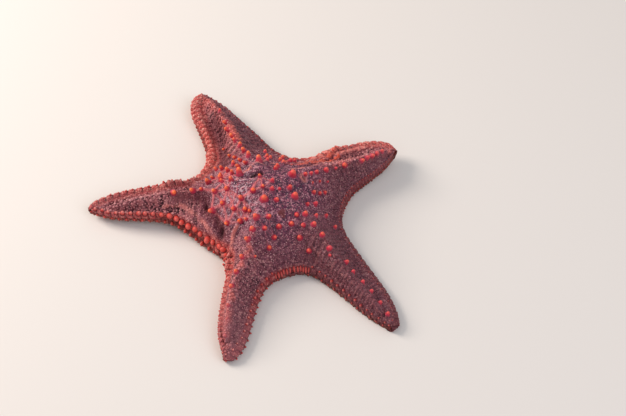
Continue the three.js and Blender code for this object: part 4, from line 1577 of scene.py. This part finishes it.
@dataclass
class Furrows:
    """What lines the grooves and the mouth: combs of thin spines, tube feet and the jaws' stout spines."""

    skin: Skin
    pitch: float = 1.7  # from one spine or foot to the next
    radius: float = 0.45
    foot_radius: float = 0.6
    foot_clear: float = 0.7
    jaw_at: float = 6.2
    jaw_reach: float = 3.6  # how far inward the jaws' spines reach
    jaw_radius: float = 0.75
    jaw_turns: tuple[float, ...] = (-9.0, 0.0, 9.0)  # where the three of a jaw stand, in degrees
    sides: int = 7

    def build(self, comb: Finish, feet: Finish) -> list[Piece]:
        """Makes the combs, the feet and the mouth's spines.

        Args:
            comb: Finish of the spines.
            feet: Finish of the feet.

        Returns:
            One piece each.
        """
        star, plan = self.skin.star, self.skin.star.plan
        s = np.arange(self.jaw_at + 2, plan.reach - 7, self.pitch)
        wide = plan.groove_width(s)
        combs, toes, jaws = ([], []), ([], []), ([], [])
        for arm, side in HALVES:
            combs[0].append(star.place(arm, s, side * wide, s * 0 + 0.7))
            combs[1].append(star.place(arm, s, side * wide * 0.15, s * 0 + 0.45))
            at = s + (0.25 + 0.25 * side) * self.pitch
            toes[0].append(star.place(arm, at, side * wide * 0.42, plan.groove_height(at) * 0.8))
            toes[1].append(star.place(arm, at, side * wide * 0.36, at * 0 + self.foot_clear))
        reaches = (self.jaw_at, self.jaw_at - self.jaw_reach)
        for arm in range(ARM_COUNT):
            for turn in self.jaw_turns:
                azimuth = HALF_SECTOR + math.radians(turn)
                for ends, reach, height in zip(jaws, reaches, (0.9, 0.8)):
                    place = [np.array([reach * f(azimuth)]) for f in (math.cos, math.sin)]
                    ends.append(star.place(arm, *place, np.array([height])))
        thin = np.tile(self.radius * lerp(1.0, 0.6, plan.along(s)), len(HALVES))
        soft = np.tile(self.foot_radius * wide / wide.max(), len(HALVES))
        stout = np.full(len(jaws[0]), self.jaw_radius)
        return [
            self._row("furrow_spines", SPINE_PROFILE, combs, thin, comb, 61),
            self._row("tube_feet", FOOT_PROFILE, toes, soft, feet, 62),
            self._row("mouth_spines", SPINE_PROFILE, jaws, stout, comb, 63),
        ]

    def _row(self, name: str, profile: tuple[Pair, ...], ends: tuple[list, list],
             radius: Array, finish: Finish, seed: int) -> Piece:
        """Makes one piece whose copies reach from their roots to their ends.

        Args:
            name: Name of the piece.
            profile: Half section of a copy.
            ends: Points of the roots, and of the ends.
            radius: Radius of each copy.
            finish: The finish.
            seed: Which small differences they have.

        Returns:
            The piece.
        """
        starts, stops = (np.concatenate(points) for points in ends)
        places = self.skin.settle(starts)
        places.points, places.normals = starts, unit(stops - starts)
        places.fields["warmth"] = np.full(len(starts), 0.4)
        height = np.linalg.norm(stops - starts, axis=1)
        coat = Coat(name, Stamp.turned(profile, self.sides), places, radius, height, seed, lean=0.05)
        return coat.build(self.skin.unwrap, finish)


@dataclass
class Granules:
    """The grains that cover the plates and the skin between the knobs, fine ones and coarse ones."""

    skin: Skin
    sides: int = 6

    def build(self, finish: Finish) -> list[Piece]:
        """Makes them in five pieces: on the margin, the disc, the arms and the sole, and the coarse ones."""
        fields, spots = self.skin.fields, self.skin.spots
        under = spots.under > 0.5
        made = []
        stamp = Stamp.turned(DOME_PROFILE, self.sides)
        bare = ~under * (1 - fields["band"]) * (1 - np.clip(fields["tent"] * 1.5, 0, 1))
        thick = 0.45 + fields["grain"]
        tip = smoothstep(70, 88, spots.s) * (spots.arm == 1)
        rough = fields["keel"] ** 2 + np.clip(fields["grainy"] - 0.55, 0, 1) + 1.5 * tip
        rough = fields["open_arm"] * rough * (fields["slope"] < 0.9) * (fields["dim"] < 0.35)
        rough = rough + 0.25 * tip * fields["band"]
        plates = fields["band"] * (0.1 + fields["swell"]) ** 2 * ~under
        for name, weight, count, spacing, radius, seed in (
            ("margin_granules", plates, 26000, 0.85, 0.38, 41),
            ("disc_granules", bare * (1 - fields["arm"]) * thick, 30000, 0.88, 0.34, 42),
            ("arm_granules", bare * fields["arm"] * thick, 36000, 0.9, 0.35, 44),
            ("coarse_granules", ~under * rough, 14000, 1.35, 0.62, 45),
            ("sole_granules", 1.0 * under * (spots.depth > 0.6), 16000, 1.45, 0.5, 43),
        ):
            chance = np.random.default_rng(seed)
            places = self.skin.sample(count, weight + 1e-9, chance)
            size = radius * chance.uniform(0.75, 1.25, count) * (1 + 0.25 * places.fields["swell"])
            size = size * (1 + 0.45 * places.fields["grainy"])
            kept = places.apart(spacing * size / radius)
            places, size = places.take(kept), size[kept]
            height = size * (0.9 - 0.4 * places.fields["upper"])
            coat = Coat(name, stamp, places, size, height, seed + 10, 0.1)
            made.append(coat.build(self.skin.unwrap, finish))
            LOG.info("%s: %d grains", name, len(kept))
        return made


# ---- finishes
class Mask(Enum):
    """The markings that the materials read from the meshes, painted light and painted shade among them."""

    UPPER = "upper"
    LOWER = "lower"
    SOLE = "sole"
    SEAM = "seam"
    SLOPE = "slope"
    RIB = "rib"
    TENT = "tent"
    STRAND = "strand"
    ARM = "arm"
    GLOW = "glow"
    WEB = "web"
    PALE = "pale"
    CREASE = "crease"
    GRAINY = "grainy"
    SHADE_SIDE = "shade_side"
    DIM = "dim"
    VEIL = "veil"
    END = "end"
    HOT = "hot"
    TILE = "tile"
    FURROW = "furrow"
    KEEL = "keel"
    UP = "up"
    TONE = "tone"
    WARMTH = "warmth"


class Pattern(Enum):
    """The patterns that the materials draw themselves."""

    MOTTLE = "soft patches"
    SPECKS = "one random value in each cell"
    GRAINS = "domes, 0 at the middle of a cell and about 0.6 at its edge"
    STRIAE = "fine stripes that follow the rolls"


@dataclass(frozen=True)
class Layer:
    """A colour laid over those below it."""

    colour: str  # the colour, in sRGB hex
    source: Mask | Pattern  # what says how thickly it lies
    low: float = 0.0  # value of the source at which it starts
    high: float = 1.0  # value of the source at which it is full
    share: float = 1.0  # how far it covers when full
    only_on: tuple[Mask, ...] = ()  # markings to which it keeps
    size: float = 1.0  # size of a patch in millimetres, or how many stripes there are to a roll


@dataclass(frozen=True)
class Bump:
    """A fine relief: its pattern, its size as in a layer, its depth in millimetres and where it is."""

    source: Pattern
    size: float
    depth: float
    only_on: tuple[Mask, ...] = ()


@dataclass(frozen=True)
class Finish:
    """A surface, from its ground colour up."""

    title: str  # name of the material
    base: str  # the ground colour, in sRGB hex
    layers: tuple[Layer, ...]  # the colours over it, from the ground up
    bumps: tuple[Bump, ...]  # its fine relief
    roughness: Pair = (0.45, 0.65)  # its least and greatest roughness
    ior: float = 1.4  # its refractive index
    specular: float = 0.35  # its specular level
    wear_size: float = 1.3  # size of the patches in which the roughness changes, in millimetres

    def material(self) -> bpy.types.Material:
        """The finish's material."""
        if self.title in bpy.data.materials:
            return bpy.data.materials[self.title]
        made = bpy.data.materials.new(self.title)
        made.use_nodes = True
        tree = made.node_tree
        tree.nodes.clear()
        place = add_node(tree, "ShaderNodeTexCoord", {}, "Object")
        place = add_node(tree, "ShaderNodeVectorMath", {0: place, "Scale": 1 / MM}, operation="SCALE")
        least, most = self.roughness
        patches = self._drawn(tree, place, Pattern.MOTTLE, self.wear_size)
        worn = {"Value": patches, "From Min": 0.35, "From Max": 0.65, "To Min": least, "To Max": most}
        surface = {
            "Base Color": self._painted(tree, place),
            "Roughness": add_node(tree, "ShaderNodeMapRange", worn, clamp=True),
            "Normal": self._raised(tree, place),
            "IOR": self.ior,
            "Specular IOR Level": self.specular,
        }
        shader = add_node(tree, "ShaderNodeBsdfPrincipled", surface)
        tree.links.new(shader, tree.nodes.new("ShaderNodeOutputMaterial").inputs["Surface"])
        return made

    @staticmethod
    def _drawn(tree: Tree, place: Socket | None, source: Mask | Pattern, size: float) -> Socket:
        """The value of a marking or of a pattern.

        Args:
            tree: The node tree.
            place: Socket of the place in millimetres, for a pattern.
            source: Which one.
            size: As in a layer.

        Returns:
            The value's socket.
        """
        at = {"Vector": place, "Scale": 1 / size}
        if source is Pattern.MOTTLE:
            return add_node(tree, "ShaderNodeTexNoise", {**at, "Detail": 2.0, "Roughness": 0.55}, "Fac")
        if source is Pattern.SPECKS:
            colour = add_node(tree, "ShaderNodeTexVoronoi", at, "Color")
            return add_node(tree, "ShaderNodeSeparateColor", {0: colour})
        if source is Pattern.GRAINS:
            return add_node(tree, "ShaderNodeTexVoronoi", at, "Distance")
        if source is Pattern.STRIAE:
            count = add_node(tree, "ShaderNodeAttribute", {}, "Fac", attribute_name="count")
            turn = add_node(tree, "ShaderNodeMath", {0: count, 1: 2 * math.pi * size}, operation="MULTIPLY")
            wave = add_node(tree, "ShaderNodeMath", {0: turn}, operation="SINE")
            return add_node(tree, "ShaderNodeMath", {0: wave, 1: 0.5, 2: 0.5}, operation="MULTIPLY_ADD")
        return add_node(tree, "ShaderNodeAttribute", {}, "Fac", attribute_name=source.value)

    def _kept(self, tree: Tree, value: Socket, only_on: tuple[Mask, ...]) -> Socket:
        """Takes a value down to nothing off its markings.

        Args:
            tree: The node tree.
            value: The value's socket.
            only_on: The markings.

        Returns:
            The socket of what is left.
        """
        for mask in only_on:
            factors = {0: value, 1: self._drawn(tree, None, mask, 1.0)}
            value = add_node(tree, "ShaderNodeMath", factors, operation="MULTIPLY")
        return value

    def _painted(self, tree: Tree, place: Socket) -> Socket:
        """Lays all the layers over the ground colour.

        Args:
            tree: The node tree.
            place: Socket of the place in millimetres.

        Returns:
            The colour's socket.
        """
        colour = linear(self.base)
        for layer in self.layers:
            value = self._drawn(tree, place, layer.source, layer.size)
            ends = {"Value": value, "From Min": layer.low, "From Max": layer.high, "To Max": layer.share}
            share = self._kept(tree, add_node(tree, "ShaderNodeMapRange", ends, clamp=True), layer.only_on)
            mixed = {0: share, 6: colour, 7: linear(layer.colour)}  # factor, and the two colours
            colour = add_node(tree, "ShaderNodeMix", mixed, 2, data_type="RGBA")
        return colour

    def _raised(self, tree: Tree, place: Socket) -> Socket:
        """Adds all the bumps up.

        Args:
            tree: The node tree.
            place: Socket of the place in millimetres.

        Returns:
            The normal's socket.
        """
        height = 0.0
        for bump in self.bumps:
            value = self._kept(tree, self._drawn(tree, place, bump.source, bump.size), bump.only_on)
            terms = {0: value, 1: bump.depth, 2: height}
            height = add_node(tree, "ShaderNodeMath", terms, operation="MULTIPLY_ADD")
        relief = {"Strength": 1.0, "Distance": MM, "Height": height}
        return add_node(tree, "ShaderNodeBump", relief, "Normal")


# Gives the eye slate and violet leather with rosy and pale specks on the disc, paler with painted
# highlights on its sunlit side, and rose-brown striped flanks on the arms, dark with painted shade on
# the sides away from the light, over which red plates brightened by painted sunlight on the lit sides,
# pink strands and creases dark with painted shade are laid.
SKIN = Finish(
    title="leathery_skin_of_sea_star",
    base="#574052",
    layers=(
        Layer("#84305a", Pattern.MOTTLE, 0.47, 0.62, 0.7, size=2.4),
        Layer("#4a2c3c", Pattern.GRAINS, 0.42, 0.62, 0.5, size=1.2),
        Layer("#a05c70", Pattern.SPECKS, 0.55, 0.7, 0.7, size=1.1),
        Layer("#d898a4", Pattern.SPECKS, 0.82, 0.9, 0.75, size=1.1),
        # painted highlight specks and darker specks on the disc's sunlit side
        Layer("#d8b4c0", Pattern.SPECKS, 0.6, 0.7, 0.75, (Mask.VEIL,), size=1.2),
        Layer("#8c3c50", Pattern.SPECKS, 0.4, 0.3, 0.6, (Mask.VEIL,), size=1.2),
        Layer("#7e4651", Mask.ARM, share=0.85),
        Layer("#642a3a", Pattern.MOTTLE, 0.5, 0.62, 0.6, (Mask.ARM,), size=4.5),
        Layer("#ac646a", Pattern.SPECKS, 0.55, 0.7, 0.6, (Mask.ARM,)),
        Layer("#421a24", Pattern.SPECKS, 0.32, 0.2, 0.8, (Mask.ARM,)),
        Layer("#dca09c", Pattern.SPECKS, 0.82, 0.9, 0.85, (Mask.ARM,)),
        Layer("#cf7c7d", Mask.WEB, 0.45, 1.0, 0.7, (Mask.GRAINY,)),
        Layer("#3a1a24", Mask.WEB, 0.45, 0.1, 0.95, (Mask.GRAINY,)),
        # the net drawn darker and pinker on the disc's sunlit side, as painted light
        Layer("#3a1c2c", Mask.WEB, 0.3, 0.05, 0.8, (Mask.VEIL,)),
        Layer("#dc747a", Mask.WEB, 0.7, 0.95, 0.8, (Mask.VEIL,)),
        Layer("#5c3642", Mask.SHADE_SIDE, share=0.66),
        Layer("#c08a94", Pattern.SPECKS, 0.8, 0.9, 0.5, (Mask.SHADE_SIDE,), size=0.9),
        Layer("#44222c", Pattern.STRIAE, 0.5, 0.9, 0.5, (Mask.SHADE_SIDE,), size=2.0),
        Layer("#a05c62", Mask.RIB, 0.5, 1.2, 0.4),
        # painted shade between the ribs and painted highlight on them, on flanks with painted light
        Layer("#42202a", Mask.RIB, 0.4, -0.2, 0.65, (Mask.SLOPE, Mask.GLOW)),
        Layer("#d07c80", Mask.RIB, 0.7, 1.4, 0.6, (Mask.SLOPE, Mask.GLOW)),
        Layer("#d0605a", Mask.KEEL, 0.15, 0.8, 0.85),
        Layer("#6e343c", Mask.UPPER),
        # the upper plates brightened by painted sunlight on the sides facing the light, with painted
        # highlight specks
        Layer("#a83a3e", Mask.GLOW, 0.2, 0.5, 1.0, (Mask.UPPER,)),
        Layer("#dc665e", Mask.GLOW, 0.5, 1.0, 0.95, (Mask.UPPER,)),
        Layer("#efa398", Pattern.SPECKS, 0.68, 0.85, 0.8, (Mask.UPPER, Mask.GLOW)),
        Layer("#6e3334", Mask.LOWER),
        # the lower plates brightened by painted sunlight on the sides facing the light
        Layer("#b04a40", Mask.GLOW, 0.2, 0.9, 0.8, (Mask.LOWER,)),
        Layer("#b5705a", Pattern.SPECKS, 0.6, 0.8, 0.5, (Mask.LOWER,)),
        # painted shade in hollows and on shaded flanks
        Layer("#6a2e38", Mask.DIM, 0.1, 0.9, 0.75),
        Layer("#b8456a", Mask.TENT, 0.35, 1.2, 0.5),
        Layer("#e2767a", Mask.STRAND, 0.12, 0.6, 0.95),
        # pale and orange folds, with painted highlight and painted sunlight on arm_1's streaks
        Layer("#ea8a82", Mask.PALE, 0.2, 0.8, 0.9),
        Layer("#e4583e", Mask.HOT, 0.2, 0.8, 0.9),
        Layer("#4c1a22", Mask.SEAM, 0.1, 0.9, 0.82),
        # painted shade in creases
        Layer("#2c121a", Mask.CREASE, 0.1, 0.8, 0.9),
        Layer("#a0666e", Mask.END, 0.0, 1.0, 0.45),
        Layer("#c08468", Mask.SOLE),
        Layer("#96553f", Pattern.MOTTLE, 0.5, 0.65, 0.5, (Mask.SOLE,), size=2.0),
        Layer("#8a4a3e", Mask.TILE, 0.1, 0.9, 0.7),
        # painted shade inside the grooves and the mouth
        Layer("#6e3434", Mask.FURROW, 0.1, 0.8, 0.9),
    ),
    bumps=(
        Bump(Pattern.GRAINS, 1.1, -0.5),
        Bump(Pattern.MOTTLE, 0.5, 0.2),
        Bump(Pattern.STRIAE, 2.0, 0.25, (Mask.SHADE_SIDE,)),
    ),
    roughness=(0.48, 0.68),
)

# Gives the eye smooth, slightly wet vermilion knobs with orange crowns, partly their own colour and partly a
# painted highlight strongest on the sunlit side, and rosy feet.
KNOB = Finish(
    title="vermilion_tubercle_skin",
    base="#a23048",
    layers=(
        Layer("#d83444", Mask.UP, 0.05, 0.4),
        Layer("#c42a50", Pattern.MOTTLE, 0.45, 0.65, 0.5, size=0.9),
        # lighter, orange crowns: partly the knobs' own colour, partly painted highlight strongest on the
        # sunlit side
        Layer("#ea565e", Mask.UP, 0.55, 0.95, 0.8),
        Layer("#ff6c38", Mask.UP, 0.5, 0.9, 1.0, (Mask.WARMTH,)),
        Layer("#ffac70", Pattern.MOTTLE, 0.5, 0.66, 0.65, (Mask.UP, Mask.WARMTH), size=0.7),
        Layer("#b0606a", Mask.END, 0.0, 1.0, 0.75),
    ),
    bumps=(Bump(Pattern.MOTTLE, 0.5, 0.12),),
    roughness=(0.36, 0.5),
    ior=1.42,
    specular=0.4,
)

# Gives the eye crimson spines along the margin, brighter red where painted sunlight falls, lighter at the
# top as a painted highlight and dark at the foot with painted shade, whose blunt ends fade to pale pink.
SPINE = Finish(
    title="crimson_margin_spine",
    base="#7c2a34",
    layers=(
        # brighter red where painted sunlight falls on a spine's side of the arm; on the comb this differs at
        # random
        Layer("#d8443a", Mask.WARMTH, 0.1, 0.9),
        # lighter tops, a painted highlight
        Layer("#dc6a62", Mask.UP, 0.5, 0.95, 0.6),
        Layer("#e8a098", Mask.UP, 0.5, 0.95, 0.9, (Mask.END,)),
        # painted shade at the foot
        Layer("#4a1a22", Mask.UP, 0.35, 0.05, 0.8),
    ),
    bumps=(Bump(Pattern.MOTTLE, 0.5, 0.12),),
    roughness=(0.42, 0.58),
    ior=1.42,
)

# Gives the eye the lime grains that stud the skin: rosy to pale on the back, red to pink on the plates,
# paler with painted highlights on the disc's sunlit side and on lit plates, dark with painted shade at their
# feet and in creases.
GRAIN = Finish(
    title="lime_grains_under_skin",
    base="#7c3e54",
    layers=(
        Layer("#c07a88", Mask.TONE, 0.2, 0.8),
        Layer("#5a2436", Mask.TONE, 0.3, 0.05, 0.6),
        Layer("#e8b6b8", Mask.TONE, 0.78, 1.0, 0.85),
        # paler grains on the disc's sunlit side, a painted highlight
        Layer("#e4c4cc", Mask.TONE, 0.55, 0.75, 0.85, (Mask.VEIL,)),
        Layer("#cc8084", Mask.GRAINY, 0.2, 0.9, 0.7),
        Layer("#e2a0a0", Mask.TONE, 0.5, 0.9, 0.7, (Mask.GRAINY,)),
        Layer("#723842", Mask.SHADE_SIDE, 0.2, 0.9, 0.8),
        # painted shade between the ribs and painted highlight on them, on flanks with painted light
        Layer("#4a242e", Mask.RIB, 0.4, -0.2, 0.55, (Mask.SLOPE, Mask.GLOW)),
        Layer("#dc9496", Mask.RIB, 0.7, 1.4, 0.55, (Mask.SLOPE, Mask.GLOW)),
        Layer("#e0746a", Mask.KEEL, 0.15, 0.8, 0.9),
        Layer("#7c3c44", Mask.UPPER),
        # grains on the upper plates brightened by painted sunlight and painted highlights on the sides
        # facing the light
        Layer("#b04244", Mask.GLOW, 0.2, 0.5, 1.0, (Mask.UPPER,)),
        Layer("#de6a64", Mask.GLOW, 0.5, 1.0, 0.95, (Mask.UPPER,)),
        Layer("#f6b2a2", Mask.TONE, 0.4, 1.0, 0.9, (Mask.UPPER, Mask.GLOW)),
        # painted shade in hollows and on shaded flanks
        Layer("#7e3a44", Mask.DIM, 0.1, 0.9, 0.75),
        Layer("#86423c", Mask.LOWER),
        # grains on the lower plates brightened by painted sunlight
        Layer("#b4564a", Mask.GLOW, 0.3, 0.9, 0.8, (Mask.LOWER,)),
        Layer("#ea8688", Mask.STRAND, 0.12, 0.6, 0.9),
        # pale and orange folds, with painted highlight and painted sunlight on arm_1's streaks
        Layer("#f09c92", Mask.PALE, 0.2, 0.8, 0.9),
        Layer("#e8644a", Mask.HOT, 0.2, 0.8, 0.8),
        Layer("#b0787e", Mask.END, 0.0, 1.0, 0.45),
        Layer("#54202a", Mask.SEAM, 0.2, 0.9, 0.85),
        # painted shade in creases
        Layer("#3a1820", Mask.CREASE, 0.1, 0.8, 0.9),
        Layer("#cf9577", Mask.SOLE),
        Layer("#a8604c", Mask.TILE, 0.1, 0.9, 0.6),
        # painted shade at the foot of each grain, deeper among the coarse grains
        Layer("#441c24", Mask.UP, 0.5, 0.0, 0.5),
        Layer("#4c222a", Mask.UP, 0.5, 0.0, 0.4, (Mask.GRAINY,)),
    ),
    bumps=(Bump(Pattern.MOTTLE, 0.4, 0.08),),
    roughness=(0.42, 0.6),
    ior=1.42,
)

# Gives the eye the pale, moist flesh of the tube feet, rosier where they are rooted.
FOOT = Finish(
    title="tube_foot_flesh",
    base="#c98a78",
    layers=(Layer("#ecc9a8", Mask.UP, 0.3, 0.9), Layer("#b86a5c", Pattern.MOTTLE, 0.5, 0.7, 0.4, size=0.5)),
    bumps=(Bump(Pattern.MOTTLE, 0.4, 0.05),),
    roughness=(0.3, 0.45),
    ior=1.38,
)

# Gives the eye the pale buff spines that line the grooves and the mouth.
COMB = Finish(
    title="buff_furrow_spine",
    base="#a8604e",
    layers=(Layer("#dca884", Mask.UP, 0.1, 0.8), Layer("#b87660", Pattern.MOTTLE, 0.5, 0.7, 0.4, size=0.6)),
    bumps=(Bump(Pattern.MOTTLE, 0.4, 0.06),),
    roughness=(0.45, 0.6),
)

# Gives the eye the brown-red lime of the sieve plate, darker in its furrows.
SIEVE = Finish(
    title="furrowed_lime_sieve",
    base="#5c2c36",
    layers=(
        Layer("#92484e", Mask.UP, 0.1, 0.9),
        Layer("#a4606a", Pattern.MOTTLE, 0.4, 0.65, 0.4, size=0.8),
    ),
    bumps=(Bump(Pattern.MOTTLE, 0.4, 0.12),),
    roughness=(0.52, 0.68),
    ior=1.5,
)


# ---- sieve plate
@dataclass
class SievePlate:
    """The sieve plate: a low three-cornered lime cushion with winding furrows."""

    skin: Skin
    arm: int = 4
    s: float = 17.0
    n: float = -10.0
    radius: float = 3.1
    corner: float = 0.07
    rise: float = 0.45
    sink: float = 0.55
    furrows: int = 26
    furrow_depth: float = 0.16
    sides: int = 156
    rings: int = 16

    def build(self, finish: Finish) -> Piece:
        """Makes the plate on the skin of the disc."""
        root, normal = self.skin.star.on_back(self.arm, self.s, self.n)
        at, up = self.skin.settle(root).points[0], normal[0]
        outward = unit(np.array([*(at[:2] - self.skin.star.mouth_at), 0.0]))
        across = unit(np.cross(up, outward))
        along = np.cross(across, up)
        angle = np.arange(self.sides) * 2 * math.pi / self.sides
        share = np.linspace(1, 0, self.rings + 1)[:-1]
        outline = self.radius * (1 + self.corner * np.cos(3 * angle) + 0.03 * np.cos(2 * angle + 1))
        r, a = np.meshgrid(share, angle, indexing="ij")
        wave = np.cos(self.furrows * a + 2.2 * np.sin(5 * r + 3 * a) + 4 * r)
        fine = np.where(r > 0.45, wave, np.cos(self.furrows / 2 * a + 3 * r))
        high = self.rise * (1 - r**2.6) - self.sink * r**8
        depth = self.furrow_depth * np.clip(r * 3, 0, 1) * np.clip((1 - r) * 8, 0, 1)
        z = high + depth * fine
        flat = r * outline[None]
        x, y = flat * np.cos(a), flat * np.sin(a)
        points = at + x[..., None] * along + y[..., None] * across + z[..., None] * up
        points = np.concatenate([points.reshape(-1, 3), [at + up * self.rise]])
        triangles = lofted(self.rings, self.sides)
        values = {"up": np.append(np.clip(0.5 + 0.5 * fine * (r < 0.93), 0, 1).ravel(), 0.7)}
        map_at = np.append(np.stack([x.ravel(), y.ravel()], 1), [[0, 0]], axis=0) / (2.6 * self.radius) + 0.5
        return make_mesh("sieve_plate", points, triangles, values, map_at[triangles.ravel()], finish)


# ---- studio
@dataclass(frozen=True)
class Lamp:
    """A square soft lamp that faces the star, in metres and watts."""

    name: str
    at: tuple[float, float, float]
    size: float
    power: float
    colour: str

    def build(self) -> None:
        """Makes the lamp."""
        data = bpy.data.lights.new(self.name, "AREA")
        data.size, data.energy = self.size, self.power
        data.color = linear(self.colour)[:3]
        lamp = bpy.data.objects.new(self.name, data)
        lamp.location = self.at
        lamp.rotation_euler = (-Vector(self.at)).to_track_quat("-Z", "Y").to_euler()
        bpy.context.scene.collection.objects.link(lamp)


@dataclass
class Studio:
    """A pale floor, soft lamps and the camera, in metres and degrees."""

    floor_size: float = 4.0
    floor_colour: str = "#e9e4e0"
    look_at: tuple[float, float, float] = (0.0412, 0.0114, 0.0)
    distance: float = 0.840
    elevation: float = 50.0
    lens: float = 80.1  # in millimetres, as the sensor is
    sensor: float = 36.0
    clip: Pair = (0.05, 20.0)
    world_strength: float = 0.46
    lamps: tuple[Lamp, ...] = (
        Lamp("key", (-0.85, 0.35, 0.62), 0.5, 11.5, "#fff2e6"),
        Lamp("fill", (0.8, -0.7, 0.9), 0.9, 5.175, "#eef2ff"),
    )

    def build(self) -> None:
        """Makes the floor, the lamps, the world and the camera."""
        self._floor()
        for lamp in self.lamps:
            lamp.build()
        world = bpy.data.worlds.new("studio")
        world.use_nodes = True
        background = world.node_tree.nodes["Background"]
        background.inputs["Color"].default_value = (1, 1, 1, 1)
        background.inputs["Strength"].default_value = self.world_strength
        bpy.context.scene.world = world
        self._camera()
        bpy.context.scene.view_settings.view_transform = "Standard"

    def _camera(self) -> None:
        """Makes the camera, which looks along y and down."""
        turn, target = math.radians(self.elevation), Vector(self.look_at)
        data = bpy.data.cameras.new("camera")
        data.lens, data.sensor_width = self.lens, self.sensor
        data.clip_start, data.clip_end = self.clip
        camera = bpy.data.objects.new("camera", data)
        camera.location = target + Vector((0, -math.cos(turn), math.sin(turn))) * self.distance
        camera.rotation_euler = (target - camera.location).to_track_quat("-Z", "Y").to_euler()
        bpy.context.scene.collection.objects.link(camera)
        bpy.context.scene.camera = camera

    def _floor(self) -> None:
        """Makes the floor."""
        half = self.floor_size / 2
        corners = [(-half, -half, 0), (half, -half, 0), (half, half, 0), (-half, half, 0)]
        mesh = bpy.data.meshes.new("floor")
        mesh.from_pydata(corners, [], [(0, 1, 2, 3)])
        floor = bpy.data.objects.new("floor", mesh)
        bpy.context.scene.collection.objects.link(floor)
        made = bpy.data.materials.new("matt_paper_floor")
        made.use_nodes = True
        shader = made.node_tree.nodes["Principled BSDF"]
        shader.inputs["Base Color"].default_value = linear(self.floor_colour)
        shader.inputs["Roughness"].default_value = 0.9
        shader.inputs["Specular IOR Level"].default_value = 0.1
        mesh.materials.append(made)


def main() -> None:
    """Builds the star on its frame, dresses it and sets the studio."""
    logging.basicConfig(level=logging.INFO, format="%(message)s")
    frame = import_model()
    skin = Skin()
    skin_piece = skin.build(SKIN)
    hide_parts(*[name for name in frame["nodes"] if name != "madreporite"])
    sieve = SievePlate(skin).build(SIEVE)
    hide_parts("madreporite")
    knobs = Knobs(skin).build(KNOB)
    spines = MarginSpines(skin).build(SPINE)
    grains = Granules(skin).build(GRAIN)
    lining = Furrows(skin).build(COMB, FOOT)
    for slot, pieces in (
        ("disc_skin", [skin_piece]),
        ("sieve_plate", [sieve]),
        ("tubercle", [knobs, *spines, *lining]),
        ("arm_skin", grains),
    ):
        for piece in pieces:
            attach(piece, BODY)
            LOG.info("%s: %d faces", piece.name, len(piece.data.polygons))
    Studio().build()


if __name__ == "__main__":
    main()
